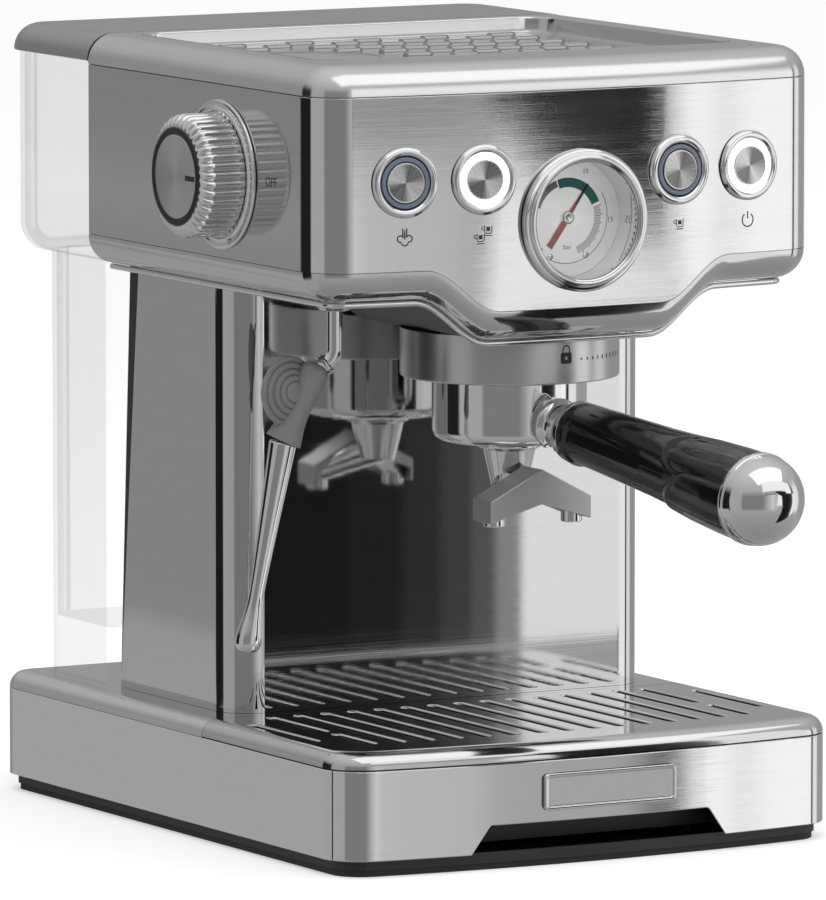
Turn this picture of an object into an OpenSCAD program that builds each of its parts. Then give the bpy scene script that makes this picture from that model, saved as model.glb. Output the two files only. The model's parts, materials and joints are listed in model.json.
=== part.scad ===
// Pump espresso machine: steel case on a black pan, with a drip drawer, a bayonet portafilter,
// a swivelling steam pipe and a lift-out water tank. Origin on the table, under the middle of the base.
// +X is the right side seen from the front, the front faces -Y and +Z is up.

/* [Case] */
// Width of the base and of the head
body_w = 260; // [250:1:280]
// Depth of the base from the crown of its front to its back
base_d = 341; // [332:1:355]
// Radius of the bow that the front panels follow in plan
bow_r = 800; // [600:10:1500]
// Radius of the upright front corners
corner_r = 20; // [16:1:24]
// Radius of the upright back corners of the tank and its lid
rear_r = 20; // [14:1:24]
// Radius of the upright back corners of the base
base_rear_r = 12; // [11:1:24]
// Thickness of the sheet steel
sheet_t = 1.2; // [0.8:0.1:1.4]
// Height of the table gap under the steel panels
panel_z = 7.5; // [7:0.5:9]
// Height of the flat steel band round the base
base_band_h = 41; // [38:1:46]
// Radius of the rolled edge of the base
base_edge_r = 8; // [6:0.5:9]
// Height of the line where the head's flat panels start
head_z = 270.3; // [266:0.1:285]
// Height of the head's flat panels
head_band_h = 78.9; // [76:0.1:90]
// Radius of the rolled edges of the head
head_edge_r = 14; // [12:0.5:15]
// How far the head's front stands behind the base's front
head_setback = 18.5; // [14:0.5:22]
// Depth of the head from its front to the seam with the tank lid
head_d = 232; // [226:1:236]
// Drop of the chin below the front panel's shoulders
chin_drop = 20; // [14:1:22]
// Half width of the flat bottom of the chin
chin_half = 42; // [40:1:48]
// Width of the slope on each side of the chin
chin_slope = 37; // [30:1:45]

/* [Column] */
// Width of the column
column_w = 221; // [205:1:223]
// Radius of the column's front corners
column_r = 17; // [12:1:20]
// Depth of the base in front of the column
bay_d = 147; // [144:1:150]
// Space between the column's foot and the water tank
column_gap = 3.3; // [2:0.1:6]
// How much less deep the column is where it meets the head
column_lean = 19; // [0:1:24]
// How far the black cover stands behind the column's sheet at the top
cover_proud = 9.5; // [1:0.5:10]

/* [Cup tray] */
// Width of the cup tray
cup_w = 220; // [190:1:224]
// Depth of the cup tray
cup_d = 184; // [160:1:186]
// Depth of the recess that cups stand in
cup_recess = 8; // [5:0.5:10]
// Length of one pressed slot
cup_slot_l = 22; // [14:1:26]
// Width of one pressed slot
cup_slot_w = 2.6; // [2:0.1:4]
// Spacing of the slots along a row
cup_pitch = 36; // [32:1:44]
// Spacing of the rows of slots
cup_row = 11.5; // [10:0.5:16]

/* [Drip drawer] */
// Width of the finger-grip notch at its foot
notch_w = 133; // [100:1:150]
// Height of the finger-grip notch
notch_h = 13; // [9:0.5:16]
// Width of the drip tray
tray_w = 244; // [210:1:246]
// Thickness of the plastic walls
plastic_t = 2; // [1.6:0.1:3]
// Width of the blank nameplate
name_w = 69; // [50:1:80]
// Height of the blank nameplate
name_h = 17; // [12:1:19]
// Width of one drain slot of the grid
grid_slot_w = 4; // [3:0.5:5]
// Spacing of the drain slots
grid_pitch = 14.1; // [9:0.1:15]

/* [Controls] */
// Height of the push buttons
button_z = 310.5; // [306:0.5:314]
// Offset of the inner buttons from the middle
button_in = 50.8; // [49:0.1:56]
// Offset of the outer buttons from the middle
button_out = 89.5; // [88:0.1:94]
// Radius of a button bezel
bezel_r = 16; // [14.5:0.5:17]
// Outer radius of a button's light ring
led_r = 11.75; // [11:0.25:12.5]
// Radius of a button's metal disc
button_r = 9.2; // [8:0.1:9.6]
// Travel of a button
button_travel = 1.5; // [0.8:0.1:1.8]
// Height of the pressure gauge
gauge_z = 290; // [288:0.5:294]
// Radius of the gauge bezel
gauge_r = 32.4; // [30:0.1:33.4]
// Radius of the gauge glass
glass_r = 26.4; // [22:0.1:27]
// Depth of the gauge dial behind the front panel
dial_depth = 14.5; // [8:0.5:18]
// Radius of the steam knob
knob_r = 28.3; // [24:0.1:30]
// Length of the steam knob
knob_l = 19; // [14:0.5:22]
// Radius of the plate behind the knob
knob_plate_r = 34.2; // [31:0.1:36]
// Number of ribs round the knob
knob_ribs = 40; // [24:1:48]
// Distance of the knob from the head's front
knob_back = 103; // [95:1:120]
// Height of the knob
knob_z = 308.4; // [305:0.1:312]
// Radius of the valve spindle
spindle_r = 4; // [3:0.1:5]

/* [Group and portafilter] */
// Distance of the group axis from the front of the base
group_back = 85.2; // [83:0.1:87]
// Outer radius of the group collar
collar_r = 50.3; // [49:0.1:52]
// Height of the collar's lower edge
collar_z = 213.8; // [212:0.1:216]
// Outer radius of the portafilter bowl
bowl_r = 35.5; // [34.5:0.1:36]
// Height of the bowl below the collar
bowl_drop = 30; // [24:1:34]
// Wall of the bowl
bowl_wall = 4.5; // [3:0.1:5]
// Reach of the bayonet lugs beyond the bowl
lug_reach = 6; // [4:0.5:6.5]
// Direction of the locked handle, turned from straight ahead
handle_turn = 6; // [0:1:12]
// Droop of the handle
handle_droop = 7.3; // [3:0.1:12]
// Length of the bright neck between bowl and grip
neck_l = 17; // [12:0.5:22]
// Length of the grip
grip_l = 134.5; // [110:0.5:150]
// Radius of the grip at the neck
grip_r1 = 14; // [12:0.1:16]
// Radius of the grip at its end
grip_r2 = 20.7; // [17:0.1:22]
// Half width of the double spout
spout_half = 26.5; // [22:0.5:30]
// Distance of the spout's front face from the group axis
spout_front = 30.4; // [26:0.1:33]
// Depth of the spout's ends
spout_end_d = 17.5; // [14:0.5:20]

/* [Steam pipe] */
// Offset of the steam pipe from the middle
wand_x = 98.5; // [94:0.5:100]
// Distance of the steam pipe from the base's front
wand_back = 72; // [68:1:78]
// Radius of the steam pipe
wand_r = 3.6; // [3:0.1:4]
// Direction in which the pipe leans, from +X
wand_turn = 160; // [150:1:200]

/* [Water tank] */
// Depth of the upper part of the tank
tank_top_d = 83.5; // [80:0.5:84]
// Height of the upper part of the tank
tank_top_h = 94; // [84:1:98]
// Width of the lower part of the tank
tank_foot_w = 232; // [210:1:234]
// Depth of the lower part of the tank
tank_foot_d = 69; // [60:1:71]
// Wall of the clear tank
tank_t = 2.2; // [1.6:0.1:3]

/* [Hidden] */

// Clearance between pieces that slide or lift past each other
gap = 0.3;
// Clearance of a shaft in its hole
fit = 0.05;
// Overshoot of a cut past the face that it opens
over = 1;
// Segments of a full turn on smooth turned pieces
turn_fn = 64;
// Segments of an upright front corner in the plan outlines
corner_n = 7;
// Segments of the bowed front in the plan outlines
bow_n = 30;
// Layers of a rolled edge
roll_n = 6;

base_front = -base_d / 2;
base_rear = base_d / 2;
band_top = panel_z + base_band_h;
deck_z = band_top + base_edge_r;
pan_z = 3;
pan_inset = 4;
pan_t = 2.5;
ledge_z = panel_z + 0.4;
runner_top = 9.7;
tray_z = runner_top + gap;
head_front = base_front + head_setback;
head_rear = head_front + head_d;
head_top_line = head_z + head_band_h;
head_top = head_top_line + head_edge_r;
head_under = head_z - head_edge_r;
bay_y = base_front + bay_d;
column_side_y = bay_y + column_r;
drawer_side_y = base_front + 20.5;
grid_rear_y = bay_y - 6;
grid_t = sheet_t;
group_y = base_front + group_back;
chin_z = head_under - chin_drop;
collar_top = chin_z;
lip_t = 4.2;
lug_z = collar_z + lip_t + gap;
lug_t = 4.5;
cavity_r = bowl_r + lug_reach + 1.5;
rim_z = collar_z + 12.7;
basket_flange = 1;
gasket_z = rim_z + basket_flange + gap;
boss_z = gasket_z + 4.2;
bowl_z = collar_z - bowl_drop;
bowl_floor = 4;
handle_z = bowl_z + 10.5;
spout_top = bowl_z - 10.5;
spout_drop = 13.7;
spout_t = 16.2;
wand_y = base_front + wand_back;
knob_y = head_front + knob_back;
side_x = body_w / 2;
gauge_proud = 5.5;
tank_front = head_rear + 1;
tank_rear = tank_front + tank_top_d;
lid_rear = tank_rear + 5;
tank_rim = head_top_line + 1.1;
tank_step_z = tank_rim - tank_top_h;
tank_foot_y = tank_front + 8.8;
tank_foot_rear = tank_foot_y + tank_foot_d;
tank_z = deck_z + gap;
column_foot_y = tank_foot_y - column_gap;
column_top_y = column_foot_y - column_lean;
lid_pin_r = 1;
lid_pin_y = tank_rear + 2.5;
lid_pin_z = tank_rim - 0.8;
lid_z = tank_rim + gap;
hinge_x = 70;
hinge_w = 6;
board_y = head_front + 28;
board_t = 1.6;

// Height of the lower edge of the front panel at x
function chin_line(x) =
    abs(x) <= chin_half ? head_z - chin_drop
    : abs(x) >= chin_half + chin_slope ? head_z
    : head_z - chin_drop * (1 + cos(180 * (abs(x) - chin_half) / chin_slope)) / 2;

// Y of a bowed front at x, moved back by inset
function bow_y(x, front, inset = 0) = front + bow_r - sqrt(pow(bow_r - inset, 2) - x * x);

function arc_points(cx, cy, r, a0, a1, n) =
    [for (i = [0 : n]) let (a = a0 + (a1 - a0) * i / n) [cx + r * cos(a), cy + r * sin(a)]];

// Bowed front with its two rounded corners, from the left side to the right side
function front_path(w, front, inset, bows = bow_n) =
    let (
        cx = w / 2 - corner_r,
        cy = front + bow_r,
        corner_y = cy - sqrt(pow(bow_r - corner_r, 2) - cx * cx),
        turn = atan2(corner_y - cy, cx)
    )
    concat(
        arc_points(-cx, corner_y, corner_r - inset, 180, 180 - turn, corner_n),
        [for (i = [1 : bows - 1])
            let (a = 180 - turn + (180 + 2 * turn) * i / bows)
            [(bow_r - inset) * cos(a), cy + (bow_r - inset) * sin(a)]],
        arc_points(cx, corner_y, corner_r - inset, 360 + turn, 360, corner_n)
    );

// Closed plan outline: bowed front, straight sides and two round back corners
function outline(w, front, rear, inset = 0, bows = 12) =
    let (r = front == base_front ? base_rear_r : rear_r)
    concat(
        front_path(w, front, inset, bows),
        arc_points(w / 2 - r, rear - r, r - inset, 0, 90, corner_n),
        arc_points(r - w / 2, rear - r, r - inset, 90, 180, corner_n)
    );

// Slab with the plan outline
module slab(w, front, rear, inset, z0, z1) {
    translate([0, 0, z0])
        linear_extrude(z1 - z0)
            polygon(outline(w, front, rear, inset));
}

// Upright wall of a given thickness along the plan outline
module wall(w, front, rear, t, z0, z1, inset = 0) {
    difference() {
        slab(w, front, rear, inset, z0, z1);
        slab(w, front, rear, inset + t, z0 - over, z1 + over);
    }
}

// Solid with the plan outline and a quarter-round edge that rises from z
module rolled(w, front, rear, r, z, inset = 0) {
    hull()
        for (i = [0 : roll_n])
            let (a = 90 * i / roll_n)
            translate([0, 0, z + r * sin(a) - (i == 0 ? 0 : 0.01)])
                linear_extrude(0.01)
                    polygon(outline(w, front, rear, inset + r * (1 - cos(a))));
}

// Box between two corners
module block(low, high) {
    translate(low)
        cube(high - low);
}

// Plate with rounded upright corners, centred in x
module rounded_plate(w, y0, y1, r, z0, z1) {
    translate([0, 0, z0])
        linear_extrude(z1 - z0)
            polygon(concat(
                arc_points(w / 2 - r, y0 + r, r, 270, 360, 6),
                arc_points(w / 2 - r, y1 - r, r, 0, 90, 6),
                arc_points(r - w / 2, y1 - r, r, 90, 180, 6),
                arc_points(r - w / 2, y0 + r, r, 180, 270, 6)
            ));
}

// Children's +Z pointing out of the head's front at x and z
module on_front(x, z) {
    translate([x, bow_y(x, head_front), z])
        rotate([0, 0, asin(x / bow_r)])
            rotate([90, 0, 0])
                children();
}

// Children's +Z pointing out of the head's left side, at the knob's centre
module on_side() {
    translate([-side_x, knob_y, knob_z])
        rotate([0, -90, 0])
            children();
}

// Tube of a given radius through the points, with round elbows
module pipe(points, r) {
    for (i = [0 : len(points) - 2]) {
        let (
            a = points[i],
            d = points[i + 1] - points[i]
        )
        translate(a)
            rotate([0, acos(d[2] / norm(d)), atan2(d[1], d[0])])
                cylinder(h = norm(d), r = r, $fn = 24);
    }
    for (i = [1 : 1 : len(points) - 2])
        translate(points[i])
            sphere(r + 0.4, $fn = 24);
}

// Section swept along the front path: each point of the section is an inset and a drop
module front_sweep(section, ends) {
    n = len(section);
    rows = [for (s = section) front_path(body_w, head_front, s[0])];
    zero = front_path(body_w, head_front, 0);
    count = len(zero);
    path = concat(
        [[for (j = [0 : n - 1]) [rows[j][0][0], ends, head_z + section[j][1]]]],
        [for (i = [0 : count - 1])
            [for (j = [0 : n - 1])
                [rows[j][i][0], rows[j][i][1], chin_line(zero[i][0]) + section[j][1]]]],
        [[for (j = [0 : n - 1]) [rows[j][count - 1][0], ends, head_z + section[j][1]]]]
    );
    m = len(path);
    polyhedron(
        points = [for (row = path) each row],
        faces = concat(
            [[for (j = [0 : n - 1]) j]],
            [[for (j = [n - 1 : -1 : 0]) (m - 1) * n + j]],
            [for (i = [0 : m - 2])
                for (j = [0 : n - 1])
                    let (k = (j + 1) % n)
                    [i * n + j, (i + 1) * n + j, (i + 1) * n + k, i * n + k]]
        )
    );
}

// ---- Base ----

module foot_ring() {
    color("dimgray")
        wall(body_w, base_front, base_rear, 5, 0, pan_z, pan_inset + 1);
}

module bottom_pan() {
    color([0.08, 0.08, 0.08]) {
        difference() {
            union() {
                slab(body_w, base_front, base_rear, pan_inset, pan_z, pan_z + pan_t);
                wall(body_w, base_front, base_rear, plastic_t, pan_z, ledge_z, pan_inset);
                intersection() {
                    wall(body_w, base_front, base_rear, 6, ledge_z - 0.4, ledge_z + 1.6, sheet_t + fit);
                    block([-body_w, drawer_side_y + 2, 0], [body_w, body_w, deck_z]);
                }
            }
            for (x = [-100, 100], y = [base_front + 60, base_rear - 45])
                translate([x, y, pan_z - over])
                    cylinder(h = 2.2 + over, r = 4.2, $fn = 32);
        }
        for (x = [-64, 60])
            block([x, base_front + 30, pan_z + pan_t], [x + 4, grid_rear_y, runner_top]);
    }
}

module pan_screws() {
    color("gray")
        for (x = [-100, 100], y = [base_front + 60, base_rear - 45])
            translate([x, y, pan_z + 0.2])
                difference() {
                    cylinder(h = 2, r = 4, $fn = 32);
                    translate([-3, -0.5, -over])
                        cube([6, 1, 1.6]);
                }
}

module base_shell() {
    color([0.72, 0.72, 0.74])
        difference() {
            union() {
                intersection() {
                    wall(body_w, base_front, base_rear, sheet_t, panel_z, band_top);
                    block([-body_w, drawer_side_y, 0], [body_w, body_w, head_z]);
                }
                intersection() {
                    difference() {
                        rolled(body_w, base_front, base_rear, base_edge_r, band_top);
                        rolled(body_w, base_front, base_rear, base_edge_r - sheet_t, band_top - 0.01,
                            sheet_t);
                    }
                    block([-body_w, grid_rear_y + 0.5, 0], [body_w, body_w, head_z]);
                }
            }
            // Seams between the deck, the two sides and the back
            block([-body_w, base_front, band_top - fit], [body_w, base_rear + over, band_top]);
            block([-body_w, base_rear - 2 * base_rear_r, 0],
                [body_w, base_rear - 2 * base_rear_r + fit, band_top]);
            // Opening for the tank seat
            block([8 - tank_foot_w / 2, tank_foot_y + 6, band_top],
                [tank_foot_w / 2 - 8, tank_foot_rear - 8, deck_z + over]);
            // Hole for the line to the pump
            translate([pump_x, pump_y, band_top])
                cylinder(h = 20, r = 5.5, $fn = 32);
            // Hole for the cord gland
            translate([80, base_rear + over, 28])
                rotate([90, 0, 0])
                    cylinder(h = 6, r = 8 + fit, $fn = 32);
        }
}

module tank_seat() {
    color([0.1, 0.1, 0.1])
        difference() {
            union() {
                block([8.1 - tank_foot_w / 2, tank_foot_y + 6.1, deck_z - 9],
                    [tank_foot_w / 2 - 8.1, tank_foot_rear - 8.1, deck_z - 7]);
                difference() {
                    block([8.1 - tank_foot_w / 2, tank_foot_y + 6.1, deck_z - 9],
                        [tank_foot_w / 2 - 8.1, tank_foot_rear - 8.1, deck_z - 0.2]);
                    block([10.1 - tank_foot_w / 2, tank_foot_y + 8.1, deck_z - 10],
                        [tank_foot_w / 2 - 10.1, tank_foot_rear - 10.1, deck_z + over]);
                }
                translate([0, (tank_foot_y + tank_foot_rear) / 2, deck_z - 16])
                    cylinder(h = 15, r = 9, $fn = 32);
            }
            translate([0, (tank_foot_y + tank_foot_rear) / 2, deck_z - 17])
                cylinder(h = 18, r = 3, $fn = 32);
        }
}

module cord_gland() {
    color([0.08, 0.08, 0.08])
        translate([80, base_rear + 2.4, 28])
            rotate([90, 0, 0])
                difference() {
                    union() {
                        cylinder(h = 2.4, r = 10.5, $fn = 32);
                        cylinder(h = 18, r = 8, $fn = 32);
                    }
                    translate([0, 0, -over])
                        cylinder(h = 20, r = 3.6, $fn = 32);
                }
}

// ---- Drip drawer ----

// Front view of the finger-grip notch
module notch_outline() {
    polygon(concat(
        [[-notch_w / 2, panel_z - over], [-notch_w / 2, panel_z]],
        arc_points(-notch_w / 2 + 11, panel_z + notch_h - 3, 3, 150, 90, 4),
        arc_points(notch_w / 2 - 11, panel_z + notch_h - 3, 3, 90, 30, 4),
        [[notch_w / 2, panel_z], [notch_w / 2, panel_z - over]]
    ));
}

module tray_front() {
    color([0.74, 0.74, 0.76])
        difference() {
            intersection() {
                wall(body_w, base_front, base_rear, sheet_t, panel_z, band_top);
                block([-body_w, base_front - over, 0], [body_w, drawer_side_y - 0.5, head_z]);
            }
            translate([0, base_front + 20, 0])
                rotate([90, 0, 0])
                    linear_extrude(30)
                        notch_outline();
        }
}

module nameplate() {
    name_z = band_top - 6 - name_h;
    color("silver")
        translate([3.5, bow_y(0, base_front), name_z])
            difference() {
                block([-name_w / 2, -1.6, 0], [name_w / 2, -0.02, name_h]);
                block([2 - name_w / 2, -1.6 - over, 2], [name_w / 2 - 2, -0.9, name_h - 2]);
            }
}

module drip_tray() {
    pocket_w = notch_w + 4;
    pocket_y = base_front + 22;
    color([0.06, 0.06, 0.06])
        difference() {
            union() {
                intersection() {
                    slab(body_w, base_front, base_rear, sheet_t + 0.02, tray_z, band_top - 1.5);
                    block([-tray_w / 2, base_front, 0], [tray_w / 2, grid_rear_y - 4, head_z]);
                }
                rounded_plate(tray_w, drawer_side_y, grid_rear_y - 4, 4, band_top - 2,
                    deck_z - grid_t - gap);
            }
            // Basin, raised over the finger pocket
            difference() {
                intersection() {
                    slab(body_w, base_front, base_rear, sheet_t + plastic_t, tray_z + plastic_t,
                        band_top);
                    block([plastic_t - tray_w / 2, base_front, 0],
                        [tray_w / 2 - plastic_t, grid_rear_y - 4 - plastic_t, head_z]);
                }
                block([-pocket_w / 2 - plastic_t, base_front, 0],
                    [pocket_w / 2 + plastic_t, pocket_y + plastic_t,
                        panel_z + notch_h + plastic_t + 2]);
            }
            rounded_plate(tray_w - 2 * plastic_t, drawer_side_y + plastic_t,
                grid_rear_y - 4 - plastic_t, 3, band_top - 3, deck_z);
            // Finger pocket behind the notch
            block([-pocket_w / 2, base_front - over, 0],
                [pocket_w / 2, pocket_y, panel_z + notch_h + 2]);
        }
}

module drip_grid() {
    count = floor((body_w / 2 - 22) / grid_pitch);
    color([0.78, 0.78, 0.8])
        difference() {
            intersection() {
                difference() {
                    rolled(body_w, base_front, base_rear, base_edge_r - 0.4, band_top + 0.4);
                    rolled(body_w, base_front, base_rear, base_edge_r - 0.4 - grid_t, band_top + 0.39,
                        grid_t);
                }
                block([-body_w, base_front - over, 0], [body_w, grid_rear_y, head_z]);
            }
            for (i = [-count - 1 : count + 1])
                let (x = i * grid_pitch + (abs(i) > count ? 4.5 * sign(i) : 0), w = grid_slot_w / 2)
                block([x - w, abs(i) > count ? grid_rear_y - 86 : drawer_side_y + 9 + x * x / 1600, band_top],
                    [x + w, grid_rear_y - (abs(i) > count ? 24 : 8), deck_z + over]);
        }
}

// ---- Column ----

// Side view of the column, wider at its foot
module column_side(inset = 0) {
    translate([-body_w / 2, 0, 0])
        rotate([90, 0, 90])
            linear_extrude(body_w)
                polygon([
                    [bay_y - over, deck_z],
                    [column_foot_y - inset, deck_z],
                    [column_top_y - inset, head_under],
                    [bay_y - over, head_under]
                ]);
}

module column_plan(inset) {
    polygon(concat(
        [[inset - column_w / 2, column_foot_y + over]],
        arc_points(column_r - column_w / 2, column_side_y, column_r - inset, 180, 270, 8),
        arc_points(column_w / 2 - column_r, column_side_y, column_r - inset, 270, 360, 8),
        [[column_w / 2 - inset, column_foot_y + over]]
    ));
}

module column_shell() {
    color([0.7, 0.7, 0.72])
        intersection() {
            linear_extrude(head_z)
                difference() {
                    column_plan(0);
                    column_plan(sheet_t);
                }
            column_side();
        }
}

// Wedge behind the column, between two lines from its foot to its top
module cover_wedge(half, foot0, top0, foot1, top1, rise = 0) {
    translate([-half, 0, 0])
        rotate([90, 0, 90])
            linear_extrude(2 * half)
                polygon([
                    [foot0, deck_z - rise], [foot1, deck_z - rise],
                    [top1, head_under + rise], [top0, head_under + rise]
                ]);
}

module column_back() {
    half = column_w / 2 - sheet_t - fit;
    foot = column_foot_y;
    top = column_top_y;
    color([0.12, 0.12, 0.12])
        difference() {
            cover_wedge(half, foot - plastic_t, top - plastic_t, foot, top + cover_proud);
            cover_wedge(half - plastic_t, foot - 30, top - 30, foot - plastic_t,
                top + cover_proud - plastic_t, over);
        }
}

// ---- Head ----

module head_wall() {
    wall(body_w, head_front, lid_rear, sheet_t, head_z, head_top_line);
}

// Where the flat side panels end and the corners of the fascia start
side_seam_y = head_front + bow_r - sqrt(pow(bow_r - corner_r, 2) - pow(side_x - corner_r, 2));

module left_side_panel() {
    color([0.66, 0.66, 0.68])
        difference() {
            block([-side_x, side_seam_y + 0.2, head_z], [sheet_t - side_x, head_rear, head_top_line]);
            on_side()
                translate([0, 0, -over - sheet_t])
                    cylinder(h = 2 * over + sheet_t, r = spindle_r + 1, $fn = 32);
        }
}

module right_side_panel() {
    color([0.66, 0.66, 0.68])
        block([side_x - sheet_t, side_seam_y + 0.2, head_z], [side_x, head_rear, head_top_line]);
}

// Front view of the fascia, with the chin
module fascia_view() {
    steps = 12;
    slope = [for (i = [0 : steps]) chin_half + chin_slope * i / steps];
    polygon(concat(
        [[-side_x - over, head_z]],
        [for (i = [steps : -1 : 0]) [-slope[i], chin_line(slope[i])]],
        [for (i = [0 : steps]) [slope[i], chin_line(slope[i])]],
        [[side_x + over, head_z], [side_x + over, head_top_line], [-side_x - over, head_top_line]]
    ));
}

module front_fascia() {
    color([0.74, 0.74, 0.76])
        difference() {
            intersection() {
                wall(body_w, head_front, lid_rear, sheet_t, head_z - chin_drop, head_top_line);
                translate([0, side_seam_y, 0])
                    rotate([90, 0, 0])
                        linear_extrude(60)
                            fascia_view();
            }
            for (x = [-button_out, -button_in, button_in, button_out])
                on_front(x, button_z)
                    translate([0, 0, -6])
                        cylinder(h = 12, r = led_r + 1.5 + fit, $fn = 48);
            on_front(0, gauge_z)
                translate([0, 0, -6])
                    cylinder(h = 12, r = gauge_r - 3 + fit, $fn = 64);
        }
}

module top_cover() {
    color([0.72, 0.72, 0.74])
        difference() {
            intersection() {
                difference() {
                    rolled(body_w, head_front, lid_rear, head_edge_r, head_top_line);
                    rolled(body_w, head_front, lid_rear, head_edge_r - sheet_t, head_top_line - 0.01,
                        sheet_t);
                }
                block([-body_w, head_front - over, 0], [body_w, head_rear, head_top + over]);
            }
            rounded_plate(cup_w + 2 * fit, head_rear - 4 - cup_d - fit, head_rear - 4 + fit, 16 + fit,
                head_top_line, head_top + over);
        }
}

module cup_tray() {
    y1 = head_rear - 4;
    y0 = y1 - cup_d;
    rows = floor((cup_d - 60) / cup_row);
    half = floor((cup_w / 2 - 20) / cup_pitch);
    color([0.75, 0.75, 0.77])
        difference() {
            rounded_plate(cup_w, y0, y1, 16, head_top - cup_recess - sheet_t, head_top);
            rounded_plate(cup_w - 2 * sheet_t, y0 + sheet_t, y1 - sheet_t, 15, head_top - cup_recess,
                head_top + over);
            for (row = [0 : rows - 1], i = [-half : half])
                let (
                    x = (i + (row % 2 == 0 ? 0 : 0.5)) * cup_pitch,
                    y = y0 + 12 + row * cup_row
                )
                if (abs(x) + cup_slot_l / 2 < cup_w / 2 - 8 && norm([x + 60, y + 14]) > 44)
                    block([x - cup_slot_l / 2, y, head_top - cup_recess - sheet_t - over],
                        [x + cup_slot_l / 2, y + cup_slot_w, head_top - cup_recess + over]);
        }
}

module lower_trim() {
    r = head_edge_r;
    t = 1.4;
    color([0.72, 0.72, 0.74])
        front_sweep(concat(
            [for (i = [0 : roll_n]) let (a = 90 * i / roll_n) [r * (1 - cos(a)), -r * sin(a)]],
            [for (i = [roll_n : -1 : 0])
                let (a = 90 * i / roll_n)
                [t + (r - t) * (1 - cos(a)), -(r - t) * sin(a)]]
        ), head_rear);
}

module trim_bead() {
    r = 1.4;
    color("silver")
        front_sweep([for (i = [0 : 7])
            [head_edge_r - 1.6 + r * sin(45 * i), -head_edge_r - r - 0.02 + r * cos(45 * i)]],
            head_rear);
}

module head_floor() {
    inset = head_edge_r + fit;
    pan_rear = group_y + collar_r + 2;
    steps = 10;
    slope = [for (i = [0 : steps]) chin_half + chin_slope * i / steps];
    low = concat(
        [for (i = [steps : -1 : 0]) [-slope[i], chin_line(slope[i]) - head_edge_r]],
        [for (i = [0 : steps]) [slope[i], chin_line(slope[i]) - head_edge_r]]
    );
    high = [for (i = [len(low) - 1 : -1 : 0]) [low[i][0], low[i][1] + plastic_t]];
    color([0.2, 0.2, 0.21])
        difference() {
            union() {
                difference() {
                    intersection() {
                        slab(body_w, head_front, lid_rear, inset, head_under, head_under + plastic_t);
                        block([-body_w, head_front, 0], [body_w, head_rear - 2, head_z]);
                    }
                    block([-chin_half - chin_slope, head_front, chin_z],
                        [chin_half + chin_slope, pan_rear - plastic_t, head_z]);
                }
                // Chin pan round the group
                intersection() {
                    translate([0, pan_rear, 0])
                        rotate([90, 0, 0])
                            linear_extrude(pan_rear - head_front)
                                polygon(concat(low, high));
                    slab(body_w, head_front, lid_rear, inset, chin_z - over, head_z);
                }
                translate([0, pan_rear, 0])
                    rotate([90, 0, 0])
                        linear_extrude(plastic_t)
                            polygon(concat(low, [
                                [chin_half + chin_slope, head_under + plastic_t],
                                [-chin_half - chin_slope, head_under + plastic_t]
                            ]));
            }
            translate([0, group_y, chin_z - over])
                cylinder(h = head_edge_r, r = bowl_r + 2, $fn = turn_fn);
            translate([-wand_x, wand_y, head_under - over])
                cylinder(h = plastic_t + 2 * over, r = wand_r + 0.5, $fn = 32);
            // Way through for the lines in the column
            block([20, bay_y + 20, head_under - over], [70, bay_y + 70, head_z]);
        }
}

module rear_panel() {
    color([0.12, 0.12, 0.12])
        union() {
            block([sheet_t + fit - side_x, head_rear - 2, head_z + 0.1],
                [side_x - sheet_t - fit, head_rear, head_top_line]);
            block([head_edge_r + 2 - side_x, head_rear - 2, head_under + plastic_t],
                [side_x - head_edge_r - 2, head_rear, head_z + over]);
        }
}

// ---- Steam knob and valve ----

module knob_plate() {
    color("silver")
        on_side()
            difference() {
                rotate_extrude($fn = turn_fn)
                    polygon([
                        [spindle_r + 1, 0.02],
                        [knob_plate_r, 0.02],
                        [knob_plate_r, 1.2],
                        [knob_plate_r - 1, 2.2],
                        [knob_r + 1, 2.6],
                        [knob_r, 2.2],
                        [spindle_r + 1, 2.2]
                    ]);
            }
}

module steam_knob() {
    tip = 0.9;
    color([0.8, 0.8, 0.82])
        on_side()
            translate([0, 0, 2.6 + gap])
                difference() {
                    union() {
                        linear_extrude(knob_l)
                            polygon([for (i = [0 : knob_ribs * 4 - 1])
                                let (
                                    a = 90 * i / knob_ribs,
                                    r = i % 4 < 2 ? knob_r : knob_r - tip
                                )
                                [r * cos(a), r * sin(a)]]);
                        translate([0, 0, knob_l])
                            cylinder(h = 1.6, r1 = knob_r - tip, r2 = knob_r - 4, $fn = turn_fn);
                    }
                    translate([0, 0, knob_l - 2])
                        cylinder(h = 6, r = knob_r - 6 + fit, $fn = turn_fn);
                    translate([0, 0, -over])
                        cylinder(h = knob_l, r = spindle_r + 0.02, $fn = 32);
                }
}

module knob_ring() {
    color([0.05, 0.05, 0.05])
        on_side()
            translate([0, 0, 2.6 + gap + knob_l - 2])
                difference() {
                    cylinder(h = 4, r = knob_r - 6, $fn = turn_fn);
                    translate([0, 0, -over])
                        cylinder(h = 6, r = knob_r - 9, $fn = turn_fn);
                }
}

module knob_disc() {
    disc_r = knob_r - 9 - fit;
    color([0.75, 0.75, 0.77])
        on_side()
            translate([0, 0, 2.6 + gap + knob_l - 2])
                difference() {
                    cylinder(h = 3.6, r = disc_r, $fn = turn_fn);
                    // Index mark towards the front
                    block([-0.8, -disc_r - over, 3.2], [0.8, 4 - disc_r, 5]);
                }
}

module valve_spindle() {
    color("silver")
        on_side()
            translate([0, 0, -24])
                cylinder(h = 24 + 2.6 + gap + knob_l - 3, r = spindle_r, $fn = 32);
}

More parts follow.
